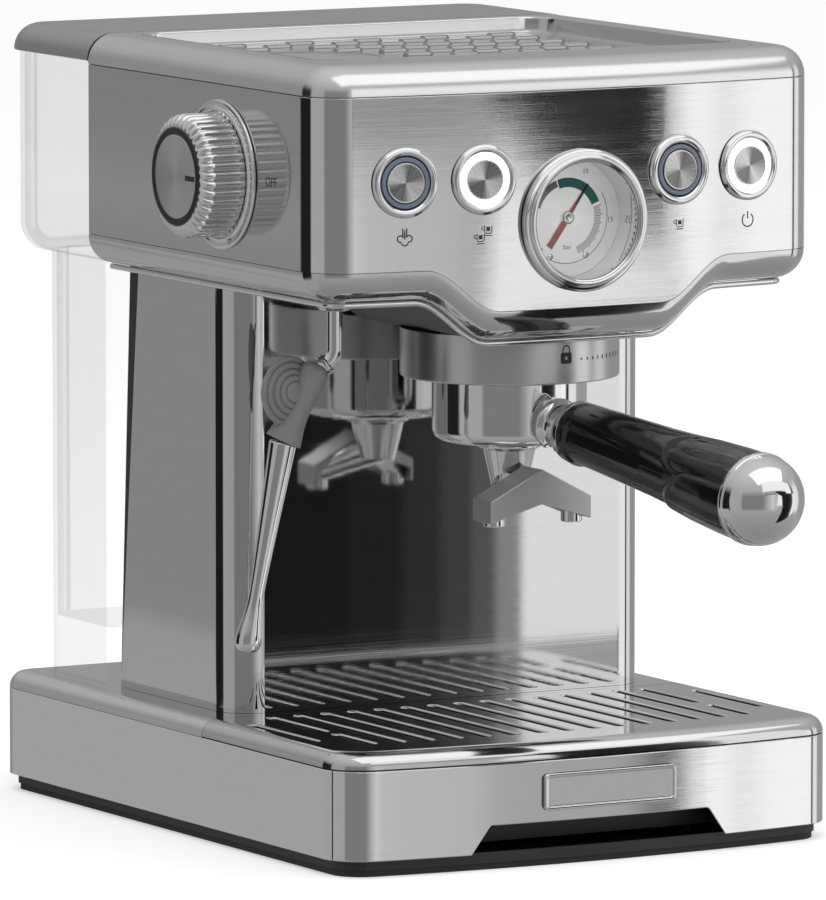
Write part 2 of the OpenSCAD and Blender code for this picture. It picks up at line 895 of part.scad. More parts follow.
module steam_valve() {
    color([0.7, 0.58, 0.3])
        on_side()
            translate([0, 0, -sheet_t - 32])
                difference() {
                    union() {
                        cylinder(h = 32, r = 11, $fn = 48);
                        cylinder(h = 8, r = 6, $fn = 32);
                        translate([0, 0, 16])
                            rotate([0, 90, 180])
                                cylinder(h = 18, r = 5, $fn = 32);
                    }
                    translate([0, 0, 32 + sheet_t - 25])
                        cylinder(h = 40, r = spindle_r + fit, $fn = 32);
                }
}

// ---- Pressure gauge ----

module gauge_case() {
    can_r = gauge_r - 3;
    color([0.8, 0.8, 0.82])
        on_front(0, gauge_z)
            difference() {
                rotate_extrude($fn = turn_fn)
                    polygon([
                        [0, -dial_depth - 5],
                        [can_r, -dial_depth - 5],
                        [can_r, 0.3],
                        [gauge_r, 0.3],
                        [gauge_r, 2.5],
                        [gauge_r - 1, 3.6],
                        [gauge_r - 2.5, 4.2],
                        [gauge_r - 3, gauge_proud - 0.4],
                        [glass_r + 1.8, gauge_proud],
                        [glass_r, gauge_proud - 1.5],
                        [glass_r, 1.5],
                        [glass_r + 1, 1.5],
                        [glass_r + 1, -dial_depth - 2],
                        [0, -dial_depth - 2]
                    ]);
            }
}

module gauge_dial() {
    color("whitesmoke")
        on_front(0, gauge_z)
            translate([0, 0, -dial_depth - 2])
                difference() {
                    cylinder(h = 2, r = glass_r + 1 - fit, $fn = turn_fn);
                    translate([0, 0, -over])
                        cylinder(h = 4, r = 1 + fit, $fn = 24);
                }
}

module gauge_needle() {
    color("firebrick")
        on_front(0, gauge_z)
            translate([0, 0, -dial_depth]) {
                translate([0, 0, -1.8])
                    cylinder(h = 3.4, r = 1, $fn = 24);
                translate([0, 0, gap])
                    cylinder(h = 1.6, r = 3.1, $fn = 32);
                rotate([0, 0, -36])
                    translate([0, 0, gap + 0.4])
                        linear_extrude(0.8)
                            polygon([[-1.5, -glass_r * 0.62], [1.5, -glass_r * 0.62], [0.3, glass_r * 0.7],
                                [-0.3, glass_r * 0.7]]);
            }
}

module gauge_glass() {
    color([0.85, 0.9, 0.92, 0.4])
        on_front(0, gauge_z)
            translate([0, 0, 1.5])
                cylinder(h = gauge_proud - 3.2, r = glass_r - fit, $fn = turn_fn);
}

// ---- Buttons ----

module button_bezels() {
    color([0.82, 0.82, 0.84])
        for (x = [-button_out, -button_in, button_in, button_out])
            on_front(x, button_z)
                rotate_extrude($fn = turn_fn)
                    polygon([
                        [led_r + fit, -8],
                        [led_r + 1.5, -8],
                        [led_r + 1.5, 0.35],
                        [bezel_r, 0.35],
                        [bezel_r - 0.4, 1.6],
                        [bezel_r - 1.6, 2.4],
                        [led_r + 1, 2.1],
                        [led_r + fit, 1.4]
                    ]);
}

module light_rings() {
    color([0.85, 0.9, 1])
        for (x = [-button_out, -button_in, button_in, button_out])
            on_front(x, button_z)
                translate([0, 0, -8])
                    difference() {
                        cylinder(h = 9.6, r = led_r, $fn = turn_fn);
                        translate([0, 0, -over])
                            cylinder(h = 12, r = button_r + gap, $fn = turn_fn);
                    }
}

// Push button: a dished metal disc on a plastic stem that reaches its switch
module push_button(x) {
    reach = board_y - bow_y(x, head_front) - button_travel - 2.4;
    color([0.8, 0.8, 0.8])
        on_front(x, button_z) {
            rotate_extrude($fn = turn_fn)
                polygon([
                    [0, -5],
                    [button_r, -5],
                    [button_r, 1.7],
                    [button_r - 0.4, 2],
                    [0, 1.5]
                ]);
            translate([0, 0, -reach])
                cylinder(h = reach - 5, r = 3, $fn = 32);
        }
}

module steam_button() {
    push_button(-button_out);
}

module double_button() {
    push_button(-button_in);
}

module single_button() {
    push_button(button_in);
}

module power_button() {
    push_button(button_out);
}

module control_board() {
    post_x = button_out + bezel_r + 3;
    color("seagreen") {
        difference() {
            block([-post_x - 5, board_y, button_z - 16], [post_x + 5, board_y + board_t, button_z + 16]);
            on_front(0, gauge_z)
                translate([0, 0, -dial_depth - 30])
                    cylinder(h = 60, r = 8, $fn = 32);
        }
        for (x = [-button_out, -button_in, button_in, button_out])
            translate([x, board_y, button_z])
                rotate([90, 0, 0])
                    cylinder(h = 2.2, r = 2.5, $fn = 32);
        // Posts that hold the board on the fascia
        for (x = [-post_x, post_x])
            translate([x, board_y, button_z])
                rotate([90, 0, 0])
                    cylinder(h = board_y - bow_y(abs(x) + 3, head_front, sheet_t) - 0.4, r = 3, $fn = 32);
    }
}

// ---- Group ----

module at_group(z = 0) {
    translate([0, group_y, z])
        children();
}

// Sector of a ring, centred on an angle
module ring_sector(r0, r1, angle, spread, h) {
    rotate([0, 0, angle - spread / 2])
        rotate_extrude(angle = spread, $fn = turn_fn)
            translate([r0, 0])
                square([r1 - r0, h]);
}

module group_collar() {
    color([0.62, 0.62, 0.64])
        at_group()
            difference() {
                translate([0, 0, collar_z])
                    cylinder(h = collar_top - collar_z, r = collar_r, $fn = 96);
                translate([0, 0, collar_z - over])
                    cylinder(h = lip_t + 2 * over, r = bowl_r + 1.5, $fn = 96);
                translate([0, 0, collar_z + lip_t])
                    cylinder(h = collar_top, r = cavity_r, $fn = 96);
                // Ways in for the lugs, where the handle is unlocked
                for (side = [0, 180])
                    translate([0, 0, collar_z - over])
                        ring_sector(bowl_r, cavity_r - 0.5, handle_turn + 45 + side, 36,
                            lip_t + 2 * over);
            }
}

module group_head() {
    color([0.7, 0.6, 0.35])
        at_group()
            union() {
                translate([0, 0, boss_z])
                    cylinder(h = chin_z - boss_z + plastic_t + 2, r = bowl_r + 0.5, $fn = turn_fn);
                translate([0, 0, chin_z + plastic_t])
                    cylinder(h = 4, r = bowl_r + 7, $fn = turn_fn);
                translate([0, 0, chin_z + plastic_t + 3])
                    cylinder(h = head_under + 8 - chin_z - plastic_t - 3, r = bowl_r - 4, $fn = turn_fn);
            }
}

module shower_screen() {
    color("silver")
        at_group(boss_z - 2) {
            difference() {
                cylinder(h = 1.2, r = bowl_r - bowl_wall - 2.6, $fn = turn_fn);
                for (ring = [8, 14, 20])
                    for (i = [0 : 11])
                        rotate([0, 0, 30 * i])
                            translate([ring, 0, -over])
                                cylinder(h = 4, r = 0.8, $fn = 16);
            }
            cylinder(h = 2, r = 4, $fn = 32);
        }
}

module group_gasket() {
    color([0.15, 0.15, 0.15])
        at_group(gasket_z)
            difference() {
                cylinder(h = boss_z - gasket_z, r = bowl_r, $fn = turn_fn);
                translate([0, 0, -over])
                    cylinder(h = 10, r = bowl_r - bowl_wall - 1.6, $fn = turn_fn);
            }
}

module boiler() {
    color([0.75, 0.76, 0.78])
        at_group(head_under + 8) {
            cylinder(h = 46, r = 35, $fn = turn_fn);
            translate([0, 0, 46])
                cylinder(h = 6, r = 12, $fn = 48);
            for (a = [45 : 90 : 315])
                rotate([0, 0, a])
                    translate([35, 0, 0])
                        cylinder(h = 10, r = 6, $fn = 24);
        }
}

pump_x = 45;
pump_y = bay_y + 44;
pump_z = deck_z + 16;

module pump() {
    color([0.3, 0.3, 0.32])
        translate([pump_x, pump_y, pump_z]) {
            cylinder(h = 30, r = 17, $fn = 48);
            translate([0, 0, 30])
                cylinder(h = 55, r = 21, $fn = 48);
            translate([0, 0, 85])
                cylinder(h = 22, r = 9, $fn = 48);
        }
}

module pump_mounts() {
    color([0.2, 0.2, 0.2]) {
        translate([pump_x, pump_y, deck_z])
            difference() {
                cylinder(h = 16, r = 22, $fn = 48);
                translate([0, 0, -over])
                    cylinder(h = 20, r = 5.5, $fn = 32);
            }
        difference() {
            block([pump_x - 12, bay_y + sheet_t, pump_z + 88], [pump_x + 12, pump_y + 12, pump_z + 102]);
            translate([pump_x, pump_y, pump_z])
                cylinder(h = 120, r = 9 + fit, $fn = 48);
        }
    }
}

module water_lines() {
    seat_y = (tank_foot_y + tank_foot_rear) / 2;
    color([0.85, 0.85, 0.8]) {
        // From the tank valve, under the deck, to the pump
        pipe([[0, seat_y, deck_z - 16], [0, seat_y, deck_z - 24], [pump_x, pump_y, deck_z - 24],
            [pump_x, pump_y, pump_z]], 4);
        // From the pump to the boiler
        pipe([[pump_x, pump_y, pump_z + 107], [pump_x, pump_y, head_top_line - 20],
            [0, group_y, head_top_line - 20], [0, group_y, head_under + 60]], 3);
        // From the boiler to the steam valve
        pipe([[-28, group_y, head_under + 54], [-28, group_y, knob_z + 12],
            [-78, knob_y, knob_z], [sheet_t + 32 - side_x, knob_y, knob_z]], 3);
        // From the steam valve to the steam pipe's seat
        pipe([[sheet_t + 16 - side_x, knob_y, knob_z - 18], [sheet_t + 16 - side_x, knob_y, knob_z - 26],
            [-wand_x, wand_y, head_under + 20], [-wand_x, wand_y, head_under + 9.5]], 3);
    }
}

// ---- Portafilter ----

module bowl() {
    color([0.8, 0.8, 0.82])
        at_group()
            union() {
                difference() {
                    rotate_extrude($fn = 96)
                        polygon(concat(
                            [[0, bowl_z], [bowl_r - 6, bowl_z]],
                            arc_points(bowl_r - 6, bowl_z + 6, 6, 270, 360, 6),
                            [[bowl_r, rim_z], [bowl_r - bowl_wall, rim_z],
                                [bowl_r - bowl_wall, bowl_z + bowl_floor], [0, bowl_z + bowl_floor]]
                        ));
                    translate([0, 0, bowl_z - over])
                        cylinder(h = bowl_floor + 2 * over, r = 4, $fn = 32);
                }
                for (side = [0, 180])
                    translate([0, 0, lug_z])
                        ring_sector(bowl_r - 1, bowl_r + lug_reach, handle_turn + side, 30, lug_t);
            }
}

module filter_basket() {
    r = bowl_r - bowl_wall - 0.4;
    t = 0.8;
    color("silver")
        at_group()
            difference() {
                union() {
                    translate([0, 0, rim_z - 22])
                        cylinder(h = 22, r = r, $fn = turn_fn);
                    translate([0, 0, rim_z + 0.02])
                        cylinder(h = basket_flange - 0.02, r = bowl_r - 0.6, $fn = turn_fn);
                    translate([0, 0, rim_z - over])
                        cylinder(h = 2 * over, r = r, $fn = turn_fn);
                }
                translate([0, 0, rim_z - 22 + t])
                    cylinder(h = 40, r = r - t, $fn = turn_fn);
                for (ring = [6, 12, 18])
                    for (i = [0 : 11])
                        rotate([0, 0, 30 * i])
                            translate([ring, 0, rim_z - 24])
                                cylinder(h = 4, r = 0.6, $fn = 16);
            }
}

// Children's +Z running along the handle from the bowl's wall
module along_handle() {
    at_group(handle_z)
        rotate([0, 0, handle_turn])
            translate([0, -bowl_r, 0])
                rotate([handle_droop, 0, 0])
                    rotate([90, 0, 0])
                        children();
}

module handle_neck() {
    color([0.8, 0.8, 0.82])
        difference() {
            along_handle()
                translate([0, 0, -4])
                    rotate_extrude($fn = 48)
                        polygon([
                            [0, 0], [12.6, 0], [12.6, 4], [11.6, 5.6], [10, 6.6], [9.5, 9],
                            [9.5, neck_l - 5], [10.4, neck_l - 2.5], [grip_r1, neck_l + 1.5],
                            [grip_r1 + 0.4, neck_l + 3.98], [0, neck_l + 3.98]
                        ]);
            at_group(bowl_z - 5)
                cylinder(h = 60, r = bowl_r + 0.02, $fn = 96);
            at_group(bowl_z - 5)
                cylinder(h = 5.5, r = bowl_r + 20, $fn = 96);
        }
}

module handle_grip() {
    color([0.03, 0.03, 0.03])
        along_handle()
            translate([0, 0, neck_l])
                rotate_extrude($fn = 48)
                    polygon([
                        [0, 0],
                        [grip_r1, 0],
                        [grip_r1 + 0.6, 6],
                        [grip_r1 + 1.8, grip_l * 0.3],
                        [grip_r1 + 2.8, grip_l * 0.5],
                        [grip_r2 - 1.4, grip_l * 0.75],
                        [grip_r2, grip_l],
                        [0, grip_l]
                    ]);
}

module handle_cap() {
    r = grip_r2 + 0.5;
    color([0.82, 0.82, 0.84])
        along_handle()
            translate([0, 0, neck_l + grip_l + 0.02])
                rotate_extrude($fn = 64)
                    polygon(concat(
                        [[0, 0], [r, 0]],
                        [for (i = [0 : 11]) let (a = 7.5 * i) [r * cos(a), 3 + (r - 1.5) * sin(a)]],
                        [[0, r + 1.5]]
                    ));
}

module double_spout() {
    boss_r = 13.3;
    foot_r = 8.2;
    face = -spout_front;
    end = spout_end_d - spout_front;
    arm_r = 5.6;
    outlet_x = spout_half - 6.2;
    outlet_y = face + spout_end_d / 2;
    outlet_z = spout_top - spout_drop - 12.5;
    color([0.78, 0.78, 0.8])
        at_group()
            difference() {
                union() {
                    translate([0, 0, spout_top - 10])
                        cylinder(h = bowl_z - spout_top + 10 - 0.02, r1 = foot_r, r2 = boss_r, $fn = 48);
                    // Arms behind the roof, each with its outlet
                    for (side = [-1, 1]) {
                        hull() {
                            translate([0, -1, spout_top - 9])
                                sphere(r = arm_r + 1, $fn = 32);
                            translate([side * outlet_x, outlet_y, spout_top - spout_drop - 4.4])
                                sphere(r = arm_r, $fn = 32);
                        }
                        translate([side * outlet_x, outlet_y, outlet_z])
                            cylinder(h = 9, r = arm_r - 0.6, $fn = 32);
                    }
                    // Roof-shaped body, cut to its plan
                    intersection() {
                        translate([0, foot_r, 0])
                            rotate([90, 0, 0])
                                linear_extrude(foot_r - face + over)
                                    polygon([
                                        [0, spout_top],
                                        [-spout_half, spout_top - spout_drop],
                                        [-spout_half, spout_top - spout_drop - 10.5],
                                        [0, spout_top - spout_t],
                                        [spout_half, spout_top - spout_drop - 10.5],
                                        [spout_half, spout_top - spout_drop]
                                    ]);
                        translate([0, 0, spout_top - 60])
                            linear_extrude(70)
                                polygon([
                                    [-spout_half, face + 1],
                                    [0, face - 0.5],
                                    [spout_half, face + 1],
                                    [spout_half, end],
                                    [5, -4],
                                    [-5, -4],
                                    [-spout_half, end]
                                ]);
                    }
                }
                // Channel from the bowl down into the roof
                translate([0, 0, spout_top - 11])
                    cylinder(h = 30, r = 4, $fn = 32);
                // Two outlets
                for (side = [-1, 1])
                    translate([side * outlet_x, outlet_y, outlet_z - over])
                        cylinder(h = 10, r = 3, $fn = 32);
                for (side = [-1, 1])
                    pipe([[0, -1, spout_top - 8],
                        [side * outlet_x, outlet_y + 0.3, outlet_z + 8]], 2.4);
            }
}

// ---- Steam pipe ----

// Children's frame: Z along the upright pipe, +X the way it leans
module at_wand() {
    translate([-wand_x, wand_y, 0])
        rotate([0, 0, wand_turn])
            children();
}

elbow_r = 8;
elbow_a = 50;
elbow_z = head_under - 24;
nut_l = 8;
// End of the elbow, in the pipe's own frame
elbow_end = [elbow_r * (1 - cos(elbow_a)), 0, elbow_z - elbow_r * sin(elbow_a)];
// Middle of the ball inside the grip
ball_at = elbow_end + (nut_l + 1) * [sin(elbow_a), 0, -cos(elbow_a)];
grip_lean = 24.8;
grip_len = 33;
grip_end = ball_at + grip_len * [sin(grip_lean), 0, -cos(grip_lean)];
tube_lean = 10.1;
tube_len = 72;

module wand_socket() {
    color("silver")
        translate([-wand_x, wand_y, head_under - 7])
            difference() {
                union() {
                    translate([0, 0, 3])
                        cylinder(h = 3.98, r = 9.5, $fn = 48);
                    cylinder(h = 3.2, r1 = 6.5, r2 = 9.5, $fn = 48);
                }
                translate([0, 0, -over])
                    cylinder(h = 10, r = wand_r + fit, $fn = 32);
            }
}

module steam_pipe() {
    color([0.82, 0.82, 0.84])
        at_wand() {
            translate([0, 0, elbow_z])
                cylinder(h = head_under + 9 - elbow_z, r = wand_r, $fn = 32);
            // Retaining ring on the head's floor
            translate([0, 0, head_under + plastic_t + gap])
                cylinder(h = 2, r = 7, $fn = 32);
            translate([elbow_r, 0, elbow_z])
                rotate([90, 0, 0])
                    rotate([0, 0, 180])
                        rotate_extrude(angle = elbow_a, $fn = 96)
                            translate([elbow_r, 0])
                                circle(r = wand_r, $fn = 32);
            translate(elbow_end)
                rotate([0, 180 - elbow_a, 0])
                    cylinder(h = nut_l + 1, r = wand_r - 0.6, $fn = 32);
            translate(ball_at)
                sphere(r = 5, $fn = 32);
        }
}

module wand_nut() {
    color("silver")
        at_wand()
            translate(elbow_end + 0.5 * [sin(elbow_a), 0, -cos(elbow_a)])
                rotate([0, 180 - elbow_a, 0])
                    difference() {
                        rotate_extrude($fn = 48)
                            polygon([
                                [0, 0], [4.4, 0], [5.2, 0.7], [4.8, 1.4], [5.2, 2.1], [4.8, 2.8], [4.4, 3.3],
                                [0, 3.3]
                            ]);
                        translate([0, 0, -over])
                            cylinder(h = 12, r = wand_r - 0.6 + 0.02, $fn = 32);
                    }
}

module wand_grip() {
    pad_turn = 34;
    pad_r = 16;
    color([0.4, 0.4, 0.41])
        at_wand()
            difference() {
                union() {
                    hull() {
                        translate(ball_at)
                            sphere(r = 7.6, $fn = 32);
                        translate(ball_at + 14 * [sin(grip_lean), 0, -cos(grip_lean)])
                            sphere(r = 7.8, $fn = 32);
                    }
                    translate(grip_end)
                        rotate([0, -grip_lean, 0])
                            cylinder(h = 21, r1 = 8.6, r2 = 7.9, $fn = 48);
                    // Ridged pad on the outer side
                    translate(ball_at + 8 * [sin(grip_lean), 0, -cos(grip_lean)])
                        rotate([0, 0, pad_turn])
                            rotate([0, 90, 0])
                                translate([0, 0, 4])
                                    rotate_extrude($fn = 48)
                                        polygon([
                                            [0, 0], [pad_r, 0], [pad_r, 2], [pad_r - 3, 3.2], [pad_r - 4, 3.2],
                                            [pad_r - 4, 4.2], [pad_r - 7, 4.6], [pad_r - 8, 4.6],
                                            [pad_r - 8, 5.6], [0, 6]
                                        ]);
                }
                translate(ball_at)
                    sphere(r = 5.05, $fn = 32);
                translate(elbow_end)
                    rotate([0, 180 - elbow_a, 0])
                        cylinder(h = nut_l + 2, r = wand_r - 0.6 + 0.05, $fn = 32);
                translate(elbow_end)
                    rotate([0, 180 - elbow_a, 0])
                        cylinder(h = 4, r = 12, $fn = 32);
                translate(grip_end)
                    rotate([0, -grip_lean, 0])
                        translate([0, 0, -over])
                            cylinder(h = 12 + over, r = 5.55, $fn = 32);
            }
}

module wand_tube() {
    tip_l = 25;
    color([0.82, 0.82, 0.84])
        at_wand()
            difference() {
                union() {
                    translate(grip_end)
                        rotate([0, -grip_lean, 0])
                            cylinder(h = 11, r = 5.5, $fn = 32);
                    translate(grip_end)
                        rotate([0, 180 - tube_lean, 0])
                            rotate_extrude($fn = 48)
                                polygon([
                                    [0, -1.5],
                                    [6.2, 0.6],
                                    [6.2, 2],
                                    [3.4, tube_len],
                                    [5, tube_len + tip_l * 0.45],
                                    [6.3, tube_len + tip_l * 0.75],
                                    [5.6, tube_len + tip_l * 0.92],
                                    [3.6, tube_len + tip_l],
                                    [0, tube_len + tip_l]
                                ]);
                }
                translate(grip_end)
                    rotate([0, 180 - tube_lean, 0])
                        translate([0, 0, 20])
                            cylinder(h = 90, r = 1.2, $fn = 24);
            }
}

// ---- Water tank ----

// Solid of the tank's outer shape, or of its hollow when t is its wall
module tank_form(t) {
    rise = t > 0 ? over : 0;
    top_w = body_w - 1;
    translate([0, 0, tank_step_z + t])
        linear_extrude(tank_top_h - t + rise)
            polygon(concat(
                [[t - top_w / 2, tank_front + t], [top_w / 2 - t, tank_front + t]],
                arc_points(top_w / 2 - rear_r, tank_rear - rear_r, rear_r - t, 0, 90, corner_n),
                arc_points(rear_r - top_w / 2, tank_rear - rear_r, rear_r - t, 90, 180, corner_n)
            ));
    translate([0, 0, tank_z + t])
        linear_extrude(tank_step_z - tank_z + over)
            polygon(concat(
                [[t - tank_foot_w / 2, tank_foot_y + t], [tank_foot_w / 2 - t, tank_foot_y + t]],
                arc_points(tank_foot_w / 2 - rear_r, tank_foot_rear - rear_r, rear_r - t, 0, 90, corner_n),
                arc_points(rear_r - tank_foot_w / 2, tank_foot_rear - rear_r, rear_r - t, 90, 180,
                    corner_n)
            ));
}

module water_tank() {
    color([0.85, 0.9, 0.92, 0.35])
        difference() {
            union() {
                tank_form(0);
                for (x = [-hinge_x, hinge_x])
                    hinge_ear(x, tank_rear - 0.5);
            }
            tank_form(tank_t);
            // Outlet over the seat's valve
            translate([0, (tank_foot_y + tank_foot_rear) / 2, tank_z - over])
                cylinder(h = tank_t + 2 * over, r = 6, $fn = 32);
            for (x = [-hinge_x, hinge_x])
                hinge_bore(x);
        }
}

// Ear that carries the lid pin, from the wall at y0
module hinge_ear(x, y0) {
    translate([x, lid_pin_y, lid_pin_z])
        rotate([0, 90, 0])
            cylinder(h = hinge_w, r = 2.2, $fn = 24);
    block([x, y0, lid_pin_z - 2.2], [x + hinge_w, lid_pin_y, lid_pin_z + 0.8]);
}

module hinge_bore(x) {
    translate([x - 10, lid_pin_y, lid_pin_z])
        rotate([0, 90, 0])
            cylinder(h = 20 + hinge_w, r = lid_pin_r + fit, $fn = 24);
}

module tank_lid() {
    color([0.72, 0.72, 0.74])
        difference() {
            union() {
                intersection() {
                    difference() {
                        rolled(body_w, head_front, lid_rear, head_edge_r - 1.4, lid_z);
                        rolled(body_w, head_front, lid_rear, head_edge_r - 1.4 - plastic_t, lid_z - 0.01,
                            plastic_t);
                    }
                    block([-body_w, tank_front - 0.4, 0], [body_w, lid_rear + over, head_top + over]);
                }
                // Front wall of the lid
                intersection() {
                    rolled(body_w, head_front, lid_rear, head_edge_r - 1.4, lid_z);
                    block([-body_w, tank_front - 0.4, 0], [body_w, tank_front + plastic_t, head_top + over]);
                }
                // Knuckles beside the tank's ears
                for (x = [-hinge_x, hinge_x])
                    translate([x + hinge_w + gap, 0, 0]) {
                        translate([0, lid_pin_y, lid_pin_z])
                            rotate([0, 90, 0])
                                cylinder(h = hinge_w, r = 2, $fn = 24);
                        block([0, lid_pin_y - 0.2, lid_pin_z], [hinge_w, lid_pin_y + 2, lid_pin_z + 4]);
                    }
            }
            for (x = [-hinge_x, hinge_x]) {
                hinge_bore(x + 5);
                block([x - 1, lid_pin_y - 3.5, lid_z - over], [x + hinge_w + 0.1, lid_rear + over, lid_z + 3]);
            }
        }
}

module lid_pins() {
    color("silver")
        for (x = [-hinge_x, hinge_x])
            translate([x, lid_pin_y, lid_pin_z])
                rotate([0, 90, 0])
                    cylinder(h = 2 * hinge_w + gap, r = lid_pin_r, $fn = 24);
}

foot_ring();
bottom_pan();
pan_screws();
base_shell();
tank_seat();
cord_gland();
tray_front();
nameplate();
drip_tray();
drip_grid();
column_shell();
column_back();
left_side_panel();
right_side_panel();
front_fascia();
top_cover();
cup_tray();
lower_trim();
trim_bead();
head_floor();
rear_panel();
knob_plate();
steam_knob();
knob_ring();
knob_disc();
valve_spindle();
steam_valve();
gauge_case();
gauge_dial();
gauge_needle();
gauge_glass();
button_bezels();
light_rings();
steam_button();
double_button();
single_button();
power_button();
control_board();
group_collar();
group_head();
shower_screen();
group_gasket();
boiler();
pump();
pump_mounts();
water_lines();
bowl();
filter_basket();
handle_neck();
handle_grip();
handle_cap();
double_spout();
wand_socket();
steam_pipe();
wand_nut();
wand_grip();
wand_tube();
water_tank();
tank_lid();
lid_pins();
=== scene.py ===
import json
from math import asin, atan2, cos, degrees, pi, radians, sin, sqrt

import bmesh
import bpy
from mathutils import Matrix, Vector


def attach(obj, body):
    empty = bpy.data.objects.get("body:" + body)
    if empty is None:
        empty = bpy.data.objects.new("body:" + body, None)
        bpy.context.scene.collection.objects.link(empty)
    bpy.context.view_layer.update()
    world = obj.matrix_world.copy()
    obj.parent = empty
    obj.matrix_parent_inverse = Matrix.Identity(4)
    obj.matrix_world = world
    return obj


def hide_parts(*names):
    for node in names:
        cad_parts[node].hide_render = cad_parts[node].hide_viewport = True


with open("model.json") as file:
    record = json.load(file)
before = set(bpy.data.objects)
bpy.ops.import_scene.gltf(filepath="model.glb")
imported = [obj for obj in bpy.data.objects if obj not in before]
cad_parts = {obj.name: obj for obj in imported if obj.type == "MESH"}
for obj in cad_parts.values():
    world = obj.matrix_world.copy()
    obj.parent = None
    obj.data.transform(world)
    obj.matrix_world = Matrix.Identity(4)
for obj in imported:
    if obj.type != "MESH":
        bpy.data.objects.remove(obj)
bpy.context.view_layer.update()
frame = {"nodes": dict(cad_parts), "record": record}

scene = bpy.context.scene
MM = 0.001  # pieces are drawn in millimetres and scaled to metres at the end


# ---- Camera ----
# A long lens from five metres, a little left of the machine and a little above its table.
# Nothing is shifted and everything is in focus.
camera = bpy.data.objects.new("camera", bpy.data.cameras.new("camera"))
scene.collection.objects.link(camera)
camera.location = (-2.5124, -4.4555, 0.7667)
camera.rotation_euler = (radians(90 - 6.651), 0, radians(-29.394))
camera.data.lens = 444.2
camera.data.clip_end = 60
scene.camera = camera
scene.view_settings.view_transform = "Standard"


# ---- Studio: floor, world, cards and lamps ----
# A white sweep lit evenly. The bright metal needs something to mirror, so the world has tall
# grey, white and black flats round the horizon, seen by reflections only, as a studio has.
def link(node_tree, a, a_out, b, b_in):
    """Joins an output of node a to an input of node b."""
    node_tree.links.new(a.outputs[a_out], b.inputs[b_in])


def set_sockets(node, values):
    """Sets constants on a node's inputs, by name."""
    for name, value in values.items():
        node.inputs[name].default_value = value


def new_node(node_tree, kind, values=None):
    """Shader node of a kind, with constants on its inputs."""
    node = node_tree.nodes.new("ShaderNode" + kind)
    set_sockets(node, values or {})
    return node


def new_paint(name, values):
    """Material with constants on its Principled shader."""
    made = bpy.data.materials.new(name)
    made.use_nodes = True
    set_sockets(made.node_tree.nodes["Principled BSDF"], values)
    return made


def ramp(node_tree, source, stops):
    """Colour ramp over a (node, output) source, from (place, grey or colour) stops."""
    node = new_node(node_tree, "ValToRGB")
    elements = node.color_ramp.elements
    while len(elements) > 1:
        elements.remove(elements[-1])
    for i, (place, value) in enumerate(stops):
        stop = elements[0] if i == 0 else elements.new(place)
        stop.position = place
        stop.color = (*value, 1) if isinstance(value, tuple) else (value, value, value, 1)
    link(node_tree, *source, node, "Fac")
    return node


def math(node_tree, operation, *values):
    """Math node; each value is a number or a (node, output)."""
    node = new_node(node_tree, "Math")
    node.operation = operation
    for i, value in enumerate(values):
        if isinstance(value, tuple):
            link(node_tree, *value, node, i)
        else:
            node.inputs[i].default_value = value
    return node


def mix_shaders(node_tree, share, a, b):
    """Shader that passes from a to b as the (node, output) share rises."""
    node = new_node(node_tree, "MixShader")
    link(node_tree, *share, node, "Fac")
    link(node_tree, a, 0, node, 1)
    link(node_tree, b, 0, node, 2)
    return node


floor_mesh = bpy.data.meshes.new("floor")
bm = bmesh.new()
bmesh.ops.create_grid(bm, x_segments=2, y_segments=2, size=9)
bm.to_mesh(floor_mesh)
bm.free()
floor = bpy.data.objects.new("floor", floor_mesh)
scene.collection.objects.link(floor)
floor.location = (0, 0, -0.0002)
floor_paint = new_paint("floor_paint", {"Base Color": (0.8, 0.8, 0.8, 1), "Roughness": 0.9,
                                        "Specular IOR Level": 0, "Emission Color": (1, 1, 1, 1),
                                        "Emission Strength": 0.35})
floor_mesh.materials.append(floor_paint)
floor.visible_glossy = False

world = bpy.data.worlds.new("studio")
scene.world = world
world.use_nodes = True
tree = world.node_tree
tree.nodes.clear()
where = new_node(tree, "TexCoord")
split = new_node(tree, "SeparateXYZ")
link(tree, where, "Generated", split, "Vector")
# Bearing round the machine: 0 in front, 90 on the knob's side, as a share of a turn from behind
minus_x = math(tree, "MULTIPLY", (split, "X"), -1.0)
minus_y = math(tree, "MULTIPLY", (split, "Y"), -1.0)
bearing = math(tree, "ARCTAN2", (minus_x, 0), (minus_y, 0))
turn = math(tree, "MULTIPLY_ADD", (bearing, 0), 1 / (2 * pi), 0.5)
flats = ramp(tree, (turn, 0), [((b + 180) / 360, v) for b, v in (
    (-180, 0.25), (-152, 0.3), (-90, 0.33), (-86, 0.8), (-70, 0.8), (-68.5, 0.01), (-64, 0.01),
    (-62, 0.95), (-43.5, 1.0), (-42.8, 0.7), (-42, 0.7), (-41.4, 1.0), (-37.3, 1.0), (-36.9, 0.1),
    (-35, 0.13), (-33, 0.39), (-21.8, 0.39), (-20.8, 0.5), (-14.5, 0.5), (-10, 0.62), (-4, 0.5),
    (2, 0.42), (8, 0.3), (16, 0.2), (68, 0.2), (72, 0.36), (108, 0.38), (112, 0.012), (145, 0.012),
    (147, 0.28), (180, 0.25))])
height = math(tree, "MULTIPLY_ADD", (split, "Z"), 0.5, 0.5)
sky = ramp(tree, (height, 0), [(0.0, 0.26), (0.3, 0.36), (0.56, 0.36), (0.63, 0.4), (0.75, 0.42),
                               (1.0, 0.6)])
band = ramp(tree, (height, 0), [(0.3, 0.0), (0.36, 1.0), (0.6, 1.0), (0.72, 0.0)])
mixed = new_node(tree, "Mix")
mixed.data_type = "RGBA"
link(tree, band, "Color", mixed, "Factor")
link(tree, sky, "Color", mixed, 6)
link(tree, flats, "Color", mixed, 7)
mirrored = new_node(tree, "Background", {"Strength": 1.15})
